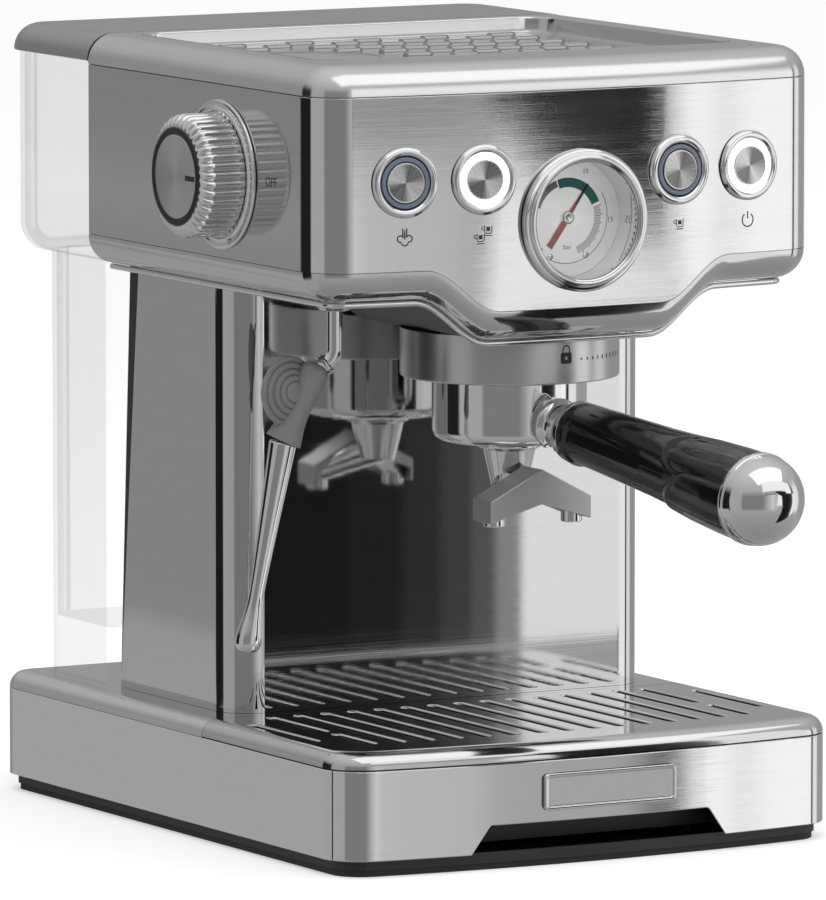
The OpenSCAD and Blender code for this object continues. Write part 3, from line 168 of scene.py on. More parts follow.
link(tree, mixed, 2, mirrored, "Color")
soft_fill = new_node(tree, "Background", {"Color": (1, 1, 1, 1), "Strength": 0.75})
plain_white = new_node(tree, "Background", {"Color": (1, 1, 1, 1), "Strength": 1.0})
paths = new_node(tree, "LightPath")
lighting = mix_shaders(tree, (paths, "Is Glossy Ray"), soft_fill, mirrored)
seen = math(tree, "MAXIMUM", (paths, "Is Camera Ray"), (paths, "Is Transmission Ray"))
surface = mix_shaders(tree, (seen, 0), lighting, plain_white)
link(tree, surface, 0, new_node(tree, "OutputWorld"), "Surface")


def card(name, corners, value):
    """Flat in the studio that only reflections see, through its corners in metres."""
    mesh = bpy.data.meshes.new(name)
    flat = bmesh.new()
    bmesh.ops.contextual_create(flat, geom=[flat.verts.new(p) for p in corners])
    flat.to_mesh(mesh)
    flat.free()
    mesh.materials.append(new_paint(name, {"Base Color": (0, 0, 0, 1), "Specular IOR Level": 0,
                                           "Emission Color": (1, 1, 1, 1), "Emission Strength": value}))
    obj = bpy.data.objects.new(name, mesh)
    scene.collection.objects.link(obj)
    obj.visible_camera = obj.visible_diffuse = obj.visible_shadow = False
    obj.visible_transmission = obj.visible_volume_scatter = False


def upright(y, corners):
    """Corners of a card that stands across the front at y, from their (x, z)."""
    return [(x, y, z) for x, z in corners]


def oblong(start, end, z0, z1):
    """Corners of an upright oblong card between two (x, y) places, from z0 up to z1."""
    return [(*start, z0), (*end, z0), (*end, z1), (*start, z1)]


PANEL_Y = -0.70  # the cards that the front panel mirrors stand here
SPLASH_Y = -0.40  # and here those that the splash back mirrors
# Black flag close to the front panel, cut on a slant, with a white flat under it and a strip
# over it: they shade the panel from dark at its top to white at its foot
SLANT = [(0.160, 0.312), (0.199, 0.282), (0.234, 0.259), (0.30, 0.244), (0.426, 0.217), (0.458, 0.210)]
card("flag_front", upright(PANEL_Y, SLANT + [(0.458, 0.338), (0.160, 0.338)]), 0.012)
card("flat_front", upright(PANEL_Y, [(0.160, 0.09), (0.458, 0.09)] + SLANT[::-1]), 1.0)
for name, x1, z0, z1, value in (("shade_front", 0.159, 0.280, 0.300, 0.22),
                                ("grey_front", 0.159, 0.3005, 0.3475, 0.40),
                                ("strip_front", 0.80, 0.348, 0.60, 1.05)):
    card(name, oblong((-0.10, PANEL_Y), (x1, PANEL_Y), z0, z1), value)
# Lower row for the splash back: black over its left half, white over its right
SPLASH_FOOT, SPLASH_TOP = 0.022, 0.212
for i, (x0, x1, value) in enumerate(((0.09, 0.160, 0.012), (0.160, 0.190, 0.018), (0.190, 0.212, 0.032),
                                     (0.212, 0.230, 0.06), (0.230, 0.244, 0.11), (0.244, 0.2585, 0.3))):
    card("flag_splash_%d" % i, oblong((x0, SPLASH_Y), (x1, SPLASH_Y), SPLASH_FOOT, SPLASH_TOP), value)
card("flat_splash", oblong((0.259, SPLASH_Y), (0.388, SPLASH_Y), SPLASH_FOOT, SPLASH_TOP), 1.0)
# Grey flat low beside the base, so that its rounded corner mirrors no black
card("flat_low", oblong((-0.510, -0.041), (-0.336, 0.178), -0.18, 0.016), 0.42)
# Lighter flats that the base's side and the foot of the head's side mirror
for name, z0, z1, value in (("flat_side", -0.5, -0.12, 0.43), ("flat_side_head", 0.126, 0.162, 0.40)):
    card(name, oblong((-0.867, 0.9), (-0.867, 1.7), z0, z1), value)
# Softbox over the front
card("softbox", [(-1.2, -2.6, 2.3), (2.4, -2.6, 2.3), (2.4, -0.4, 2.7), (-1.2, -0.4, 2.7)], 1.25)


def lamp(name, place, target, size, power):
    """Soft oblong lamp at a place, turned to its target, that no reflection shows."""
    light = bpy.data.lights.new(name, "AREA")
    light.shape = "RECTANGLE"
    light.size, light.size_y = size
    light.energy = power
    obj = bpy.data.objects.new(name, light)
    scene.collection.objects.link(obj)
    obj.location = place
    obj.rotation_euler = (Vector(target) - Vector(place)).to_track_quat("-Z", "Y").to_euler()
    obj.visible_glossy = obj.visible_camera = False


lamp("key", (-1.2, -1.6, 2.4), (0, 0, 0.2), (1.6, 1.2), 26)
lamp("fill", (1.8, -0.8, 1.6), (0, 0, 0.2), (1.2, 1.2), 14)


# ---- Base body ----
# Pressed stainless sheet wrapped round the sides and the back of the base and rolled over at
# the top into the deck that the column and the tank stand on. Brushed along its length.
def noise(node_tree, vector, scale, detail, roughness=0.5):
    """Noise texture over a (node, output) vector."""
    node = new_node(node_tree, "TexNoise", {"Scale": scale, "Detail": detail, "Roughness": roughness})
    link(node_tree, *vector, node, "Vector")
    return node


def vary(made, source, tones, rough, places=(0.3, 0.7), rough_from=0.0):
    """Colour between two tones and roughness between two limits, by a (node, output) source."""
    nt = made.node_tree
    bsdf = nt.nodes["Principled BSDF"]
    tone = ramp(nt, source, list(zip(places, tones)))
    link(nt, tone, "Color", bsdf, "Base Color")
    dull = new_node(nt, "MapRange", {"From Min": rough_from, "To Min": rough[0], "To Max": rough[1]})
    link(nt, *source, dull, "Value")
    link(nt, dull, "Result", bsdf, "Roughness")


def darker(color, share):
    """Colour at a share of its brightness."""
    return tuple(c * share for c in color)


def bump_on(node_tree, height, strength, depth, *shaders):
    """Bump by a (node, output) height, in metres, on shaders' normals."""
    bump = new_node(node_tree, "Bump", {"Strength": strength, "Distance": depth})
    link(node_tree, *height, bump, "Height")
    for shader in shaders:
        link(node_tree, bump, "Normal", shader, "Normal")


def brushed(name, color, rough=0.3, aniso=0.9, grain=0.25, spread=0.07, tint=0.06, scale=(3200, 7)):
    """Metal with fine lines: UV runs across the lines in U and along them in V, in metres."""
    made = new_paint(name, {"Metallic": 1, "Anisotropic": aniso})
    nt = made.node_tree
    bsdf = nt.nodes["Principled BSDF"]
    uv = new_node(nt, "UVMap")
    uv.uv_map = "brush"
    # Fine lines, and a few broad, faint streaks over them
    layers = []
    for across, along, detail, roughness in ((1, 1, 3, 0.65), (0.07, 0.5, 1, 0.5)):
        mapping = new_node(nt, "Mapping", {"Scale": (scale[0] * across, scale[1] * along, 1)})
        link(nt, uv, "UV", mapping, "Vector")
        layers.append((noise(nt, (mapping, "Vector"), 1, detail, roughness), "Fac"))
    lines, broad = layers
    both = math(nt, "MULTIPLY_ADD", broad, 0.4, lines)
    vary(made, (both, 0), (darker(color, 1 - tint), color), (rough - spread, rough + spread), (0.35, 0.95),
         0.4)
    relief = math(nt, "MULTIPLY_ADD", broad, 1.2, lines)
    bump_on(nt, (relief, 0), grain, 0.00004, bsdf)
    tangent = new_node(nt, "Tangent")
    tangent.direction_type = "UV_MAP"
    tangent.uv_map = "brush"
    link(nt, tangent, "Tangent", bsdf, "Tangent")
    return made


def brush_uv(bm, axis=None, centre=(0, 0, 0)):
    """UV in metres: U across the brush lines, V along them. With an axis the lines run round it."""
    layer = bm.loops.layers.uv.new("brush")
    centre = Vector(centre)
    for face in bm.faces:
        n = face.normal
        if axis is not None:
            along = Vector(axis).cross(face.calc_center_median() - centre)
        elif abs(n.z) < 0.85:
            along = Vector((0, 0, 1)).cross(n)
        else:
            along = Vector((1, 0, 0))
        along = along - n * along.dot(n)
        if along.length < 1e-6:
            along = n.orthogonal()
        along.normalize()
        across = n.cross(along)
        for loop in face.loops:
            at = loop.vert.co - centre
            loop[layer].uv = (at.dot(across) * MM, at.dot(along) * MM)


def finish_piece(name, bm, body, slot, material, *nodes, sharp=32, axis=None, centre=(0, 0, 0),
                 recalc=True, level=False):
    """Turns a bmesh in millimetres into a piece that rides on a body and stands for CAD nodes."""
    if recalc:
        bmesh.ops.recalc_face_normals(bm, faces=bm.faces)
    bm.normal_update()
    brush_uv(bm, axis, centre)
    bmesh.ops.scale(bm, vec=(MM, MM, MM), verts=bm.verts)
    mesh = bpy.data.meshes.new(name)
    bm.to_mesh(mesh)
    bm.free()
    mesh.polygons.foreach_set("use_smooth", [True] * len(mesh.polygons))
    mesh.set_sharp_from_angle(angle=radians(sharp))
    if level:
        # Keeps a big level face out of the shading of the rounding beside it
        edges = bmesh.new()
        edges.from_mesh(mesh)
        for edge in edges.edges:
            flat = [abs(f.normal.z) > 0.99999 for f in edge.link_faces]
            if any(flat) and not all(flat):
                edge.smooth = False
        edges.to_mesh(mesh)
        edges.free()
    mesh.materials.append(material)
    obj = bpy.data.objects.new(name, mesh)
    scene.collection.objects.link(obj)
    # Big flat faces keep their own normal, and only the small rounding faces bend the light
    even = obj.modifiers.new("even_normals", "WEIGHTED_NORMAL")
    even.keep_sharp = True
    even.weight = 80
    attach(obj, body)
    if nodes:
        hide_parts(*nodes)


CASE_W = 260
BOW, CORNER = 800, 20  # radii of the bowed front and of its corners
FOOT, SPLIT, DECK = 7.5, 48.3, 56.5  # heights of the base: foot, joint under the rolled top, top


def arc(cx, cy, r, a0, a1, n):
    """Points of an arc from angle a0 to a1, in degrees."""
    return [(cx + r * cos(radians(a0 + (a1 - a0) * i / n)), cy + r * sin(radians(a0 + (a1 - a0) * i / n)))
            for i in range(n + 1)]


def outline(w, front, rear, inset=0, stations=None, back=20):
    """Plan outline: left front corner, bowed front, right front corner, the two back corners."""
    cx, cy = w / 2 - CORNER, front + BOW
    corner_y = cy - sqrt((BOW - CORNER) ** 2 - cx * cx)
    tilt = degrees(atan2(corner_y - cy, cx))
    edge = BOW * cos(radians(tilt))
    stations = stations or [edge * (i / 24 - 1) for i in range(1, 48)]
    r = BOW - inset
    bow = [(x * r / BOW, cy - r * sqrt(1 - (x / BOW) ** 2)) for x in stations if abs(x) < edge - 0.5]
    turn = back - inset
    return (arc(-cx, corner_y, CORNER - inset, 180, 180 - tilt, 12) + bow
            + arc(cx, corner_y, CORNER - inset, 360 + tilt, 360, 12)
            + arc(w / 2 - back, rear - back, turn, 0, 90, 12)
            + arc(back - w / 2, rear - back, turn, 90, 180, 12))


def loft(rings, closed=True, cap=False):
    """Sheet through rings of points: the first ring's edges are extruded to each further ring."""
    bm = bmesh.new()
    verts = [bm.verts.new(p) for p in rings[0]]
    count = len(verts)
    edges = [bm.edges.new((verts[i], verts[(i + 1) % count])) for i in range(count if closed else count - 1)]
    for ring in rings[1:]:
        made = bmesh.ops.extrude_edge_only(bm, edges=edges)["geom"]
        fresh = {g for g in made if isinstance(g, bmesh.types.BMVert)}
        verts = [next(e.other_vert(v) for e in v.link_edges if e.other_vert(v) in fresh) for v in verts]
        for v, p in zip(verts, ring):
            v.co = p
        edges = [e for e in made if isinstance(e, bmesh.types.BMEdge)
                 and e.verts[0] in fresh and e.verts[1] in fresh]
    if cap:
        bmesh.ops.contextual_create(bm, geom=edges)
    return bm


def cut(bm, co, no):
    """Keeps what lies behind the plane through co."""
    bmesh.ops.bisect_plane(bm, geom=bm.verts[:] + bm.edges[:] + bm.faces[:], plane_co=co, plane_no=no,
                           clear_outer=True)


def thicken(bm, t):
    """Gives a sheet its thickness, behind its outer side."""
    bmesh.ops.recalc_face_normals(bm, faces=bm.faces)
    bmesh.ops.solidify(bm, geom=bm.faces[:], thickness=t)


def add_mesh(bm, other):
    """Adds another bmesh's geometry."""
    mesh = bpy.data.meshes.new("part")
    other.to_mesh(mesh)
    other.free()
    bm.from_mesh(mesh)
    bpy.data.meshes.remove(mesh)


BASE = dict(w=CASE_W, front=-170.5, rear=170.5, back=12)


def plan(z, inset=0, shape=BASE, stations=None):
    """Ring of a case's plan outline at a height, drawn in by inset."""
    return [(x, y, z) for x, y in outline(inset=inset, stations=stations, **shape)]


def roll(z, top, shape, inset, steps=10):
    """Rings of a quarter-round edge that rises from z to the top."""
    r = top - z
    return [plan(z + r * sin(pi / 2 * i / steps), inset + r * (1 - cos(pi / 2 * i / steps)), shape)
            for i in range(steps + 1)]


case_steel = brushed("case_steel", (0.80, 0.80, 0.805), rough=0.075, aniso=0.8, grain=0.3, spread=0.02)
walls = loft([plan(FOOT, 0.5), plan(FOOT + 0.4), plan(SPLIT - 0.4), plan(SPLIT, 0.4)])
cut(walls, (0, -149.9, 0), (0, -1, 0))
deck = loft([plan(SPLIT, 0.5), plan(SPLIT + 0.4, 0.05)] + roll(SPLIT + 0.45, DECK, BASE, 0.02), cap=True)
cut(deck, (0, -29.3, 0), (0, -1, 0))
add_mesh(walls, deck)
finish_piece("base_body", walls, "chassis", "case_steel", case_steel, "base_shell", level=True)


# ---- Drawer front ----
# The front of the base and both front corners are one panel that comes off with the drip
# drawer. Its foot is cut away for the fingers.
NOTCH_LEVEL, NOTCH_BEND, NOTCH_END = 55.5, 58.1, 66.5  # x where its level, its bend and its slope end
NOTCH_R = 3


def notch_foot(x):
    """Height of the panel's lower edge at x: a level notch, a rounded corner and a slope."""
    x = abs(x)
    if x <= NOTCH_BEND:
        return 17.5 + sqrt(NOTCH_R ** 2 - max(x - NOTCH_LEVEL, 0) ** 2)
    return max(19 - (19 - FOOT) * (x - NOTCH_BEND) / (NOTCH_END - NOTCH_BEND), FOOT)


marks = sorted({s * v for s in (-1, 1)
                for v in (NOTCH_END, 64.4, 62.3, 60.2, NOTCH_BEND, 57.7, 57.2, 56.6, 56, NOTCH_LEVEL)}
               | {5 * i for i in range(-22, 23)})


def notched(inset, rise):
    """Ring along the panel's lower edge, raised by rise."""
    return [(x, y, (notch_foot(x) if y < -150 else FOOT) + rise)
            for x, y, z in plan(FOOT, inset, BASE, marks)]


panel = loft([notched(0.4, 0), notched(0, 0.4), plan(SPLIT - 0.4, 0, BASE, marks),
              plan(SPLIT, 0.4, BASE, marks)])
cut(panel, (0, -150.5, 0), (0, 1, 0))
thicken(panel, 1.1)
finish_piece("drawer_front", panel, "drip_drawer", "case_steel", case_steel, "tray_front")


# ---- Nameplate ----
# A small cast plate with a raised, rounded frame, plated bright and pinned to the drawer
# front. Its field is bare.
chrome = brushed("bright_chrome", (0.80, 0.80, 0.81), rough=0.07, aniso=0.0, grain=0.0, spread=0.03,
                 tint=0.03, scale=(300, 300))


def box_mesh(low, high):
    """Box between two opposite corners."""
    bm = bmesh.new()
    bmesh.ops.create_cube(bm, size=1)
    low, high = Vector(low), Vector(high)
    for v in bm.verts:
        v.co = Vector([low[i] + (high[i] - low[i]) * (v.co[i] + 0.5) for i in range(3)])
    return bm


def soften(bm, width, segments, edges=None):
    """Rounds edges, or all of them."""
    bmesh.ops.bevel(bm, geom=edges or bm.edges[:], offset=width, offset_type="OFFSET", segments=segments,
                    profile=0.5, affect="EDGES", clamp_overlap=True, material=-1)


def rounded_rect(x0, x1, y0, y1, r, z, n=6):
    """Ring round an oblong with rounded corners, at a height."""
    return [(x, y, z) for x, y in arc(x1 - r, y0 + r, r, 270, 360, n) + arc(x1 - r, y1 - r, r, 0, 90, n)
            + arc(x0 + r, y1 - r, r, 90, 180, n) + arc(x0 + r, y0 + r, r, 180, 270, n)]


def plate_ring(inset, y):
    """Rounded outline of the plate, drawn in by inset, at a depth y."""
    return [(x, y, z) for x, z, y0 in rounded_rect(-31 + inset, 38 - inset, 25.6 + inset, 42.4 - inset,
                                                    2.4 - inset * 0.6, 0)]


# From the drawer front out to the frame's round edge and in to the field: (inset, y)
PLATE_SECTION = [(0, -170.55), (0, -171.5), (0.12, -171.8), (0.4, -172.0), (0.8, -172.05), (1.3, -172.0),
                 (1.6, -171.75), (1.75, -171.45), (1.95, -171.3), (2.3, -171.25)]
plate = loft([plate_ring(inset, y) for inset, y in PLATE_SECTION], cap=True)
finish_piece("nameplate_plate", plate, "drip_drawer", "chrome", chrome, "nameplate", sharp=45)


# ---- Drip grid ----
# One pressed sheet: a wide rolled rim, polished, round a dished field that is cut into long
# bars. It lifts off the drawer for washing.
polished = brushed("polished_steel", (0.72, 0.72, 0.73), rough=0.1, aniso=0.5, grain=0.05, spread=0.03,
                   scale=(900, 30))


def close_ends(bm):
    """Closes each open end with a face."""
    bmesh.ops.holes_fill(bm, edges=[e for e in bm.edges if e.is_boundary], sides=0)
    return bm


def bored(bm, cutters):
    """bm with closed cutter meshes taken away."""
    things = []
    for m in (bm, cutters):
        mesh = bpy.data.meshes.new("bore")
        bmesh.ops.recalc_face_normals(m, faces=m.faces)
        m.to_mesh(mesh)
        m.free()
        thing = bpy.data.objects.new("bore", mesh)
        scene.collection.objects.link(thing)
        things.append(thing)
    modifier = things[0].modifiers.new("bore", "BOOLEAN")
    modifier.operation = "DIFFERENCE"
    modifier.solver = "EXACT"
    modifier.object = things[1]
    evaluated = things[0].evaluated_get(bpy.context.evaluated_depsgraph_get())
    result = bmesh.new()
    result.from_mesh(evaluated.to_mesh())
    evaluated.to_mesh_clear()
    for thing in things:
        mesh = thing.data
        bpy.data.objects.remove(thing)
        bpy.data.meshes.remove(mesh)
    return result


SLOT_PITCH, SLOT_HALF, SLOT_END = 14.1, 2, -37.5  # spacing and half width of the slots, y of their ends


def slot_rows():
    """(x, y0, y1) of the open slots between the bars: their front ends follow the bow."""
    middle = [SLOT_PITCH * i for i in range(-6, 7)]
    rows = [(x, -141 + x ** 2 / (2 * BOW), SLOT_END) for x in middle]
    for x in (-7 * SLOT_PITCH, 7 * SLOT_PITCH):
        rows += [(x, -134.9, -99), (x, -90, SLOT_END)]
    return rows + [(x, -115.5, -53.5) for x in (-117.3, 117.3)]


rim = loft([plan(48.95, 0.6)] + roll(48.95, DECK, BASE, 0.02), cap=True)
cut(rim, (0, -29.7, 0), (0, 1, 0))
thicken(rim, 0.75)
# The edge of a slot is rolled down into the opening: (growth, height)
SLOT_EDGE = [(0, 50), (0.05, 55.75), (0.15, 56.0), (0.35, 56.2), (0.65, 56.36), (1.05, 56.47), (1.5, 56.53)]
slots = bmesh.new()
for x, y0, y1 in slot_rows():
    add_mesh(slots, close_ends(loft([rounded_rect(x - SLOT_HALF - a, x + SLOT_HALF + a, y0 - a, y1 + a,
                                                  SLOT_HALF - 0.05 + a, z) for a, z in SLOT_EDGE])))
rim = bored(rim, slots)
finish_piece("grid_plate", rim, "grid", "case_steel", polished, "drip_grid", sharp=30, level=True)


# ---- Column and splash back ----
# One sheet of brushed stainless bent round the column's front corners and open behind. It is
# the splash back behind the cups, bright enough to mirror the studio in upright bands.
splash_steel = brushed("splash_steel", (0.70, 0.70, 0.705), rough=0.04, aniso=0.6, grain=0.1,
                       spread=0.03, scale=(1800, 5))
HEAD_FOOT = 256.3  # underside of the head, where the column ends


def column_share(z):
    """Share of the column's height at z."""
    return (z - DECK) / (HEAD_FOOT - DECK)


def column_rear(z):
    """Y of the column's sloping back at a height."""
    return 86.5 - 19 * column_share(z)


def column_bend(z):
    """Section of the column's sheet at a height, from back to back round both front corners."""
    return ([(-110.5, column_rear(z) - 0.4, z)]
            + [(x, y, z) for x, y in arc(-93.5, -6.5, 17, 180, 270, 12) + arc(93.5, -6.5, 17, 270, 360, 12)]
            + [(110.5, column_rear(z) - 0.4, z)])


wrap = loft([column_bend(z) for z in (DECK + 0.1, 156, HEAD_FOOT - 0.1)], closed=False)
thicken(wrap, 1.1)
finish_piece("splash_back", wrap, "chassis", "case_steel", splash_steel, "column_shell")


# ---- Column back ----
# Black moulded cover that closes the column behind, with level ribs for stiffness. It sits
# between the rear edges of the steel sheet.
def moulded(name, color, rough=0.5, fine=900, depth=0.00003, coat=0.0, more=None):
    """Plastic with a fine spark-eroded grain, on object coordinates."""
    made = new_paint(name, {"Coat Weight": coat, "Coat Roughness": 0.04, **(more or {})})
    nt = made.node_tree
    at = (new_node(nt, "TexCoord"), "Object")
    cloud = noise(nt, at, 22, 3)
    vary(made, (cloud, "Fac"), (darker(color, 0.86), color), (max(rough - 0.05, 0.02), rough + 0.05))
    grain = noise(nt, at, fine, 2)
    bump_on(nt, (grain, "Fac"), 0.35, depth, nt.nodes["Principled BSDF"])
    return made


black_plastic = moulded("black_plastic", (0.014, 0.014, 0.015), rough=0.42)
# Upright section of the cover: height and depth below its plane
profile = [(DECK + 0.2, 0)]
for i in range(8):
    z = 70 + 22 * i
    profile += [(z, 0), (z + 1, 0.9), (z + 7, 0.9), (z + 8, 0)]
profile.append((HEAD_FOOT - 0.2, 0))


def cover_row(x, out):
    """One upright line of the cover: out 1 on its back plane, 0 inside the steel sheet."""
    rows = []
    for z, dip in profile:
        proud = 9.5 * column_share(z)
        dip = min(dip, proud / 3) if abs(x) < 105 else 0
        rows.append((x, column_rear(z) - 1.4 + out * (1.3 + proud - dip), z))
    return rows


side = [(-110.3, 0), (-110.3, 0.9), (-109.3, 1), (-103, 1)]
cover = loft([cover_row(x, out) for x, out in side + [(0, 1)] + [(-x, out) for x, out in side[::-1]]],
             closed=False)
thicken(cover, 1.2)
finish_piece("column_cover", cover, "chassis", "black_plastic", black_plastic, "column_back")


# ---- Head side panels ----
# Flat sheets of the same steel, screwed to the head's frame from inside. The left one has the
# hole for the valve spindle and is marked beside the knob.
def lay(bm, place):
    """Moves a mesh to its place, a matrix."""
    bmesh.ops.transform(bm, matrix=place, verts=bm.verts[:])
    return bm


def turned(profile, place=None, steps=64):
    """Surface turned from (radius, height) points about the Z of its place."""
    bm = bmesh.new()
    verts = [bm.verts.new((r, 0, z)) for r, z in profile]
    edges = [bm.edges.new(pair) for pair in zip(verts, verts[1:])]
    bmesh.ops.spin(bm, geom=verts + edges, cent=(0, 0, 0), axis=(0, 0, 1), angle=2 * pi, steps=steps,
                   use_merge=True)
    bmesh.ops.remove_doubles(bm, verts=bm.verts[:], dist=1e-4)
    return lay(bm, place or Matrix())


def plug(r, z0, z1, place=None, steps=48):
    """Closed cylinder along the Z of its place."""
    return turned([(0, z0), (r, z0), (r, z1), (0, z1)], place, steps)


KNOB_Y, KNOB_Z = -49, 308.4
OUT_OF_SIDE = (Matrix.Translation((-CASE_W / 2, KNOB_Y, KNOB_Z))
               @ Matrix.Rotation(-pi / 2, 4, "Y"))  # at the knob, with Z out of the side and X up
side_steel = brushed("side_steel", (0.62, 0.62, 0.625), rough=0.08, aniso=0.8, grain=0.12, spread=0.02,
                     scale=(2400, 6))


def side_panel(x0, x1):
    """Sheet with softened edges between two x."""
    sheet = box_mesh((x0, -123.9, 270.45), (x1, 79.8, 349.1))
    soften(sheet, 0.3, 2)
    return sheet


left = bored(side_panel(-129.97, -128.85), plug(5, -6, 6, OUT_OF_SIDE))
finish_piece("side_panel_left", left, "chassis", "case_steel", side_steel, "left_side_panel")
right = side_panel(128.85, 129.97)
finish_piece("side_panel_right", right, "chassis", "case_steel", side_steel, "right_side_panel")


# ---- Front fascia ----
# Brushed sheet with both upright front corners and the dropped chin in one piece, pierced for
# the gauge and the four buttons. The lines run level.
HEAD = dict(w=CASE_W, front=-152, rear=169.5)
HEAD_SPLIT = 349.15  # joint between the fascia and the top cover
BUTTONS = dict(steam=-89.5, double=-50.8, single=50.8, power=89.5)  # x of each button
BUTTON_Z = 310.5


def bow_y(x):
    """Y of the head's bowed front at x."""
    return HEAD["front"] + BOW - sqrt(BOW * BOW - x * x)


def chin(x):
    """Height of the front panel's lower edge at x."""
    x = min(max(abs(x), 42), 79)
    return 250.3 + 20 * (1 - cos(pi * (x - 42) / 37)) / 2


def out_of_front(x, z, proud=0):
    """Place on the bowed front: Z points out of it, Y up."""
    a = asin(x / BOW)
    return (Matrix.Translation((x + proud * sin(a), bow_y(x) - proud * cos(a), z))
            @ Matrix.Rotation(a, 4, "Z") @ Matrix.Rotation(pi / 2, 4, "X"))


CHIN_STATIONS = sorted({s * (42 + 37 * i / 12) for i in range(13) for s in (-1, 1)}
                       | {s * 7 * i for i in range(6) for s in (-1, 1)}
                       | {s * v for v in (84, 90, 96, 102, 107) for s in (-1, 1)})


def fascia_ring(inset, z=None, lift=0):
    """Ring of the fascia: at a height, or along the chin with a lift."""
    return [(x, y, (chin(x) if z is None else z) + lift)
            for x, y in outline(inset=inset, stations=CHIN_STATIONS, **HEAD)]


panel = loft([fascia_ring(0.35, lift=0.05), fascia_ring(0.02, lift=0.4),
              fascia_ring(0.02, HEAD_SPLIT - 0.35), fascia_ring(0.35, HEAD_SPLIT)])
cut(panel, (0, -124.4, 0), (0, 1, 0))
thicken(panel, 1.1)
GAUGE = out_of_front(0, 290)
holes = plug(29.5, -8, 8, GAUGE, 96)
for x in BUTTONS.values():
    add_mesh(holes, plug(13.3, -8, 8, out_of_front(x, BUTTON_Z)))
panel = bored(panel, holes)
finish_piece("fascia", panel, "chassis", "case_steel", case_steel, "front_fascia", sharp=25)


# ---- Markings on the panels ----
# Black enamel printed and baked on the steel: a steam cloud, two cups, one cup and a power
# sign under their buttons, and OFF beside the knob.
enamel = moulded("black_enamel", (0.012, 0.012, 0.013), rough=0.35, depth=0.00001)


def stroke(points, w):
    """Flat ribbon of width w along (u, v) points."""
    n = len(points)
    sides = ([], [])
    for i, (u, v) in enumerate(points):
        a = points[max(i - 1, 0)]
        b = points[min(i + 1, n - 1)]
        d = Vector((b[0] - a[0], b[1] - a[1])).normalized() * (w / 2)
        sides[0].append((u - d.y, v + d.x, 0))
        sides[1].append((u + d.y, v - d.x, 0))
    return loft(sides, closed=False)


def patch(u0, u1, v0, v1):
    """Flat oblong."""
    return loft([[(u0, v0, 0), (u1, v0, 0)], [(u0, v1, 0), (u1, v1, 0)]], closed=False)


def cup_sign(u, v):
    """One cup on its saucer, with its handle to the left."""
    bm = stroke([(u + a, v + b) for a, b in [(-1.8, 1.7), (-1.8, -0.5)] + arc(-0.7, -0.7, 1.1, 180, 270, 5)
                 + arc(0.7, -0.7, 1.1, 270, 360, 5) + [(1.8, 1.7)]], 0.42)
    add_mesh(bm, patch(u - 0.95, u + 0.95, v - 0.75, v + 1.15))
    add_mesh(bm, stroke([(u + a, v + b) for a, b in arc(-2.5, 0.5, 0.75, 60, 300, 8)], 0.4))
    add_mesh(bm, stroke([(u - 1.9, v - 2.75), (u + 1.9, v - 2.75)], 0.42))
    return bm


def steam_sign(size=1.0):
    """Three jets over a cloud of three lobes, to a scale."""
    bm = stroke([(0, 3.2), (0, -1.0)], 0.6)
    for s in (-1, 1):
        add_mesh(bm, stroke([(s * 1.0, 4.0), (s * 0.85, -0.2)], 0.6))
        add_mesh(bm, stroke([(s * u, v) for u, v in arc(2.1, -0.7, 1.5, 140, -110, 12)], 0.6))
    add_mesh(bm, stroke(arc(0, -2.1, 1.7, 195, 345, 12), 0.6))
    bmesh.ops.scale(bm, vec=(size, size, 1), verts=bm.verts[:])
    return bm


two_cups = cup_sign(-1.5, -1.2)
add_mesh(two_cups, cup_sign(2.3, 2.4))
power = stroke(arc(0, 0, 3.1, 125, 415, 28), 0.6)
add_mesh(power, stroke([(0, 0.6), (0, 4.0)], 0.6))
SIGN_Z = 285.6
signs = lay(steam_sign(), out_of_front(BUTTONS["steam"], SIGN_Z + 0.4, 0.03))
for sign, button in ((two_cups, "double"), (cup_sign(0.8, 0.6), "single"), (power, "power")):
    add_mesh(signs, lay(sign, out_of_front(BUTTONS[button], SIGN_Z, 0.03)))
finish_piece("button_signs", signs, "chassis", "case_steel", enamel, recalc=False)


def lettering(text, size, place):
    """Flat text as a bmesh, centred on its place."""
    curve = bpy.data.curves.new("text", "FONT")
    curve.body = text
    curve.size = size
    curve.align_x = "CENTER"
    curve.align_y = "CENTER"
    curve.resolution_u = 3
    thing = bpy.data.objects.new("text", curve)
    scene.collection.objects.link(thing)
    evaluated = thing.evaluated_get(bpy.context.evaluated_depsgraph_get())
    bm = bmesh.new()
    bm.from_mesh(evaluated.to_mesh())
    evaluated.to_mesh_clear()
    bpy.data.objects.remove(thing)
    bpy.data.curves.remove(curve)
    return lay(bm, place)


def on_left_side(y, z, proud):
    """Place on the left side, with X towards the front and Y up."""
    return (Matrix.Translation((-CASE_W / 2 - proud, y, z)) @ Matrix.Rotation(-pi / 2, 4, "Z")
            @ Matrix.Rotation(pi / 2, 4, "X"))


finish_piece("off_mark", lettering("OFF", 6.2, on_left_side(-96.5, 308.3, 0.03)), "chassis", "case_steel",
             enamel, recalc=False)


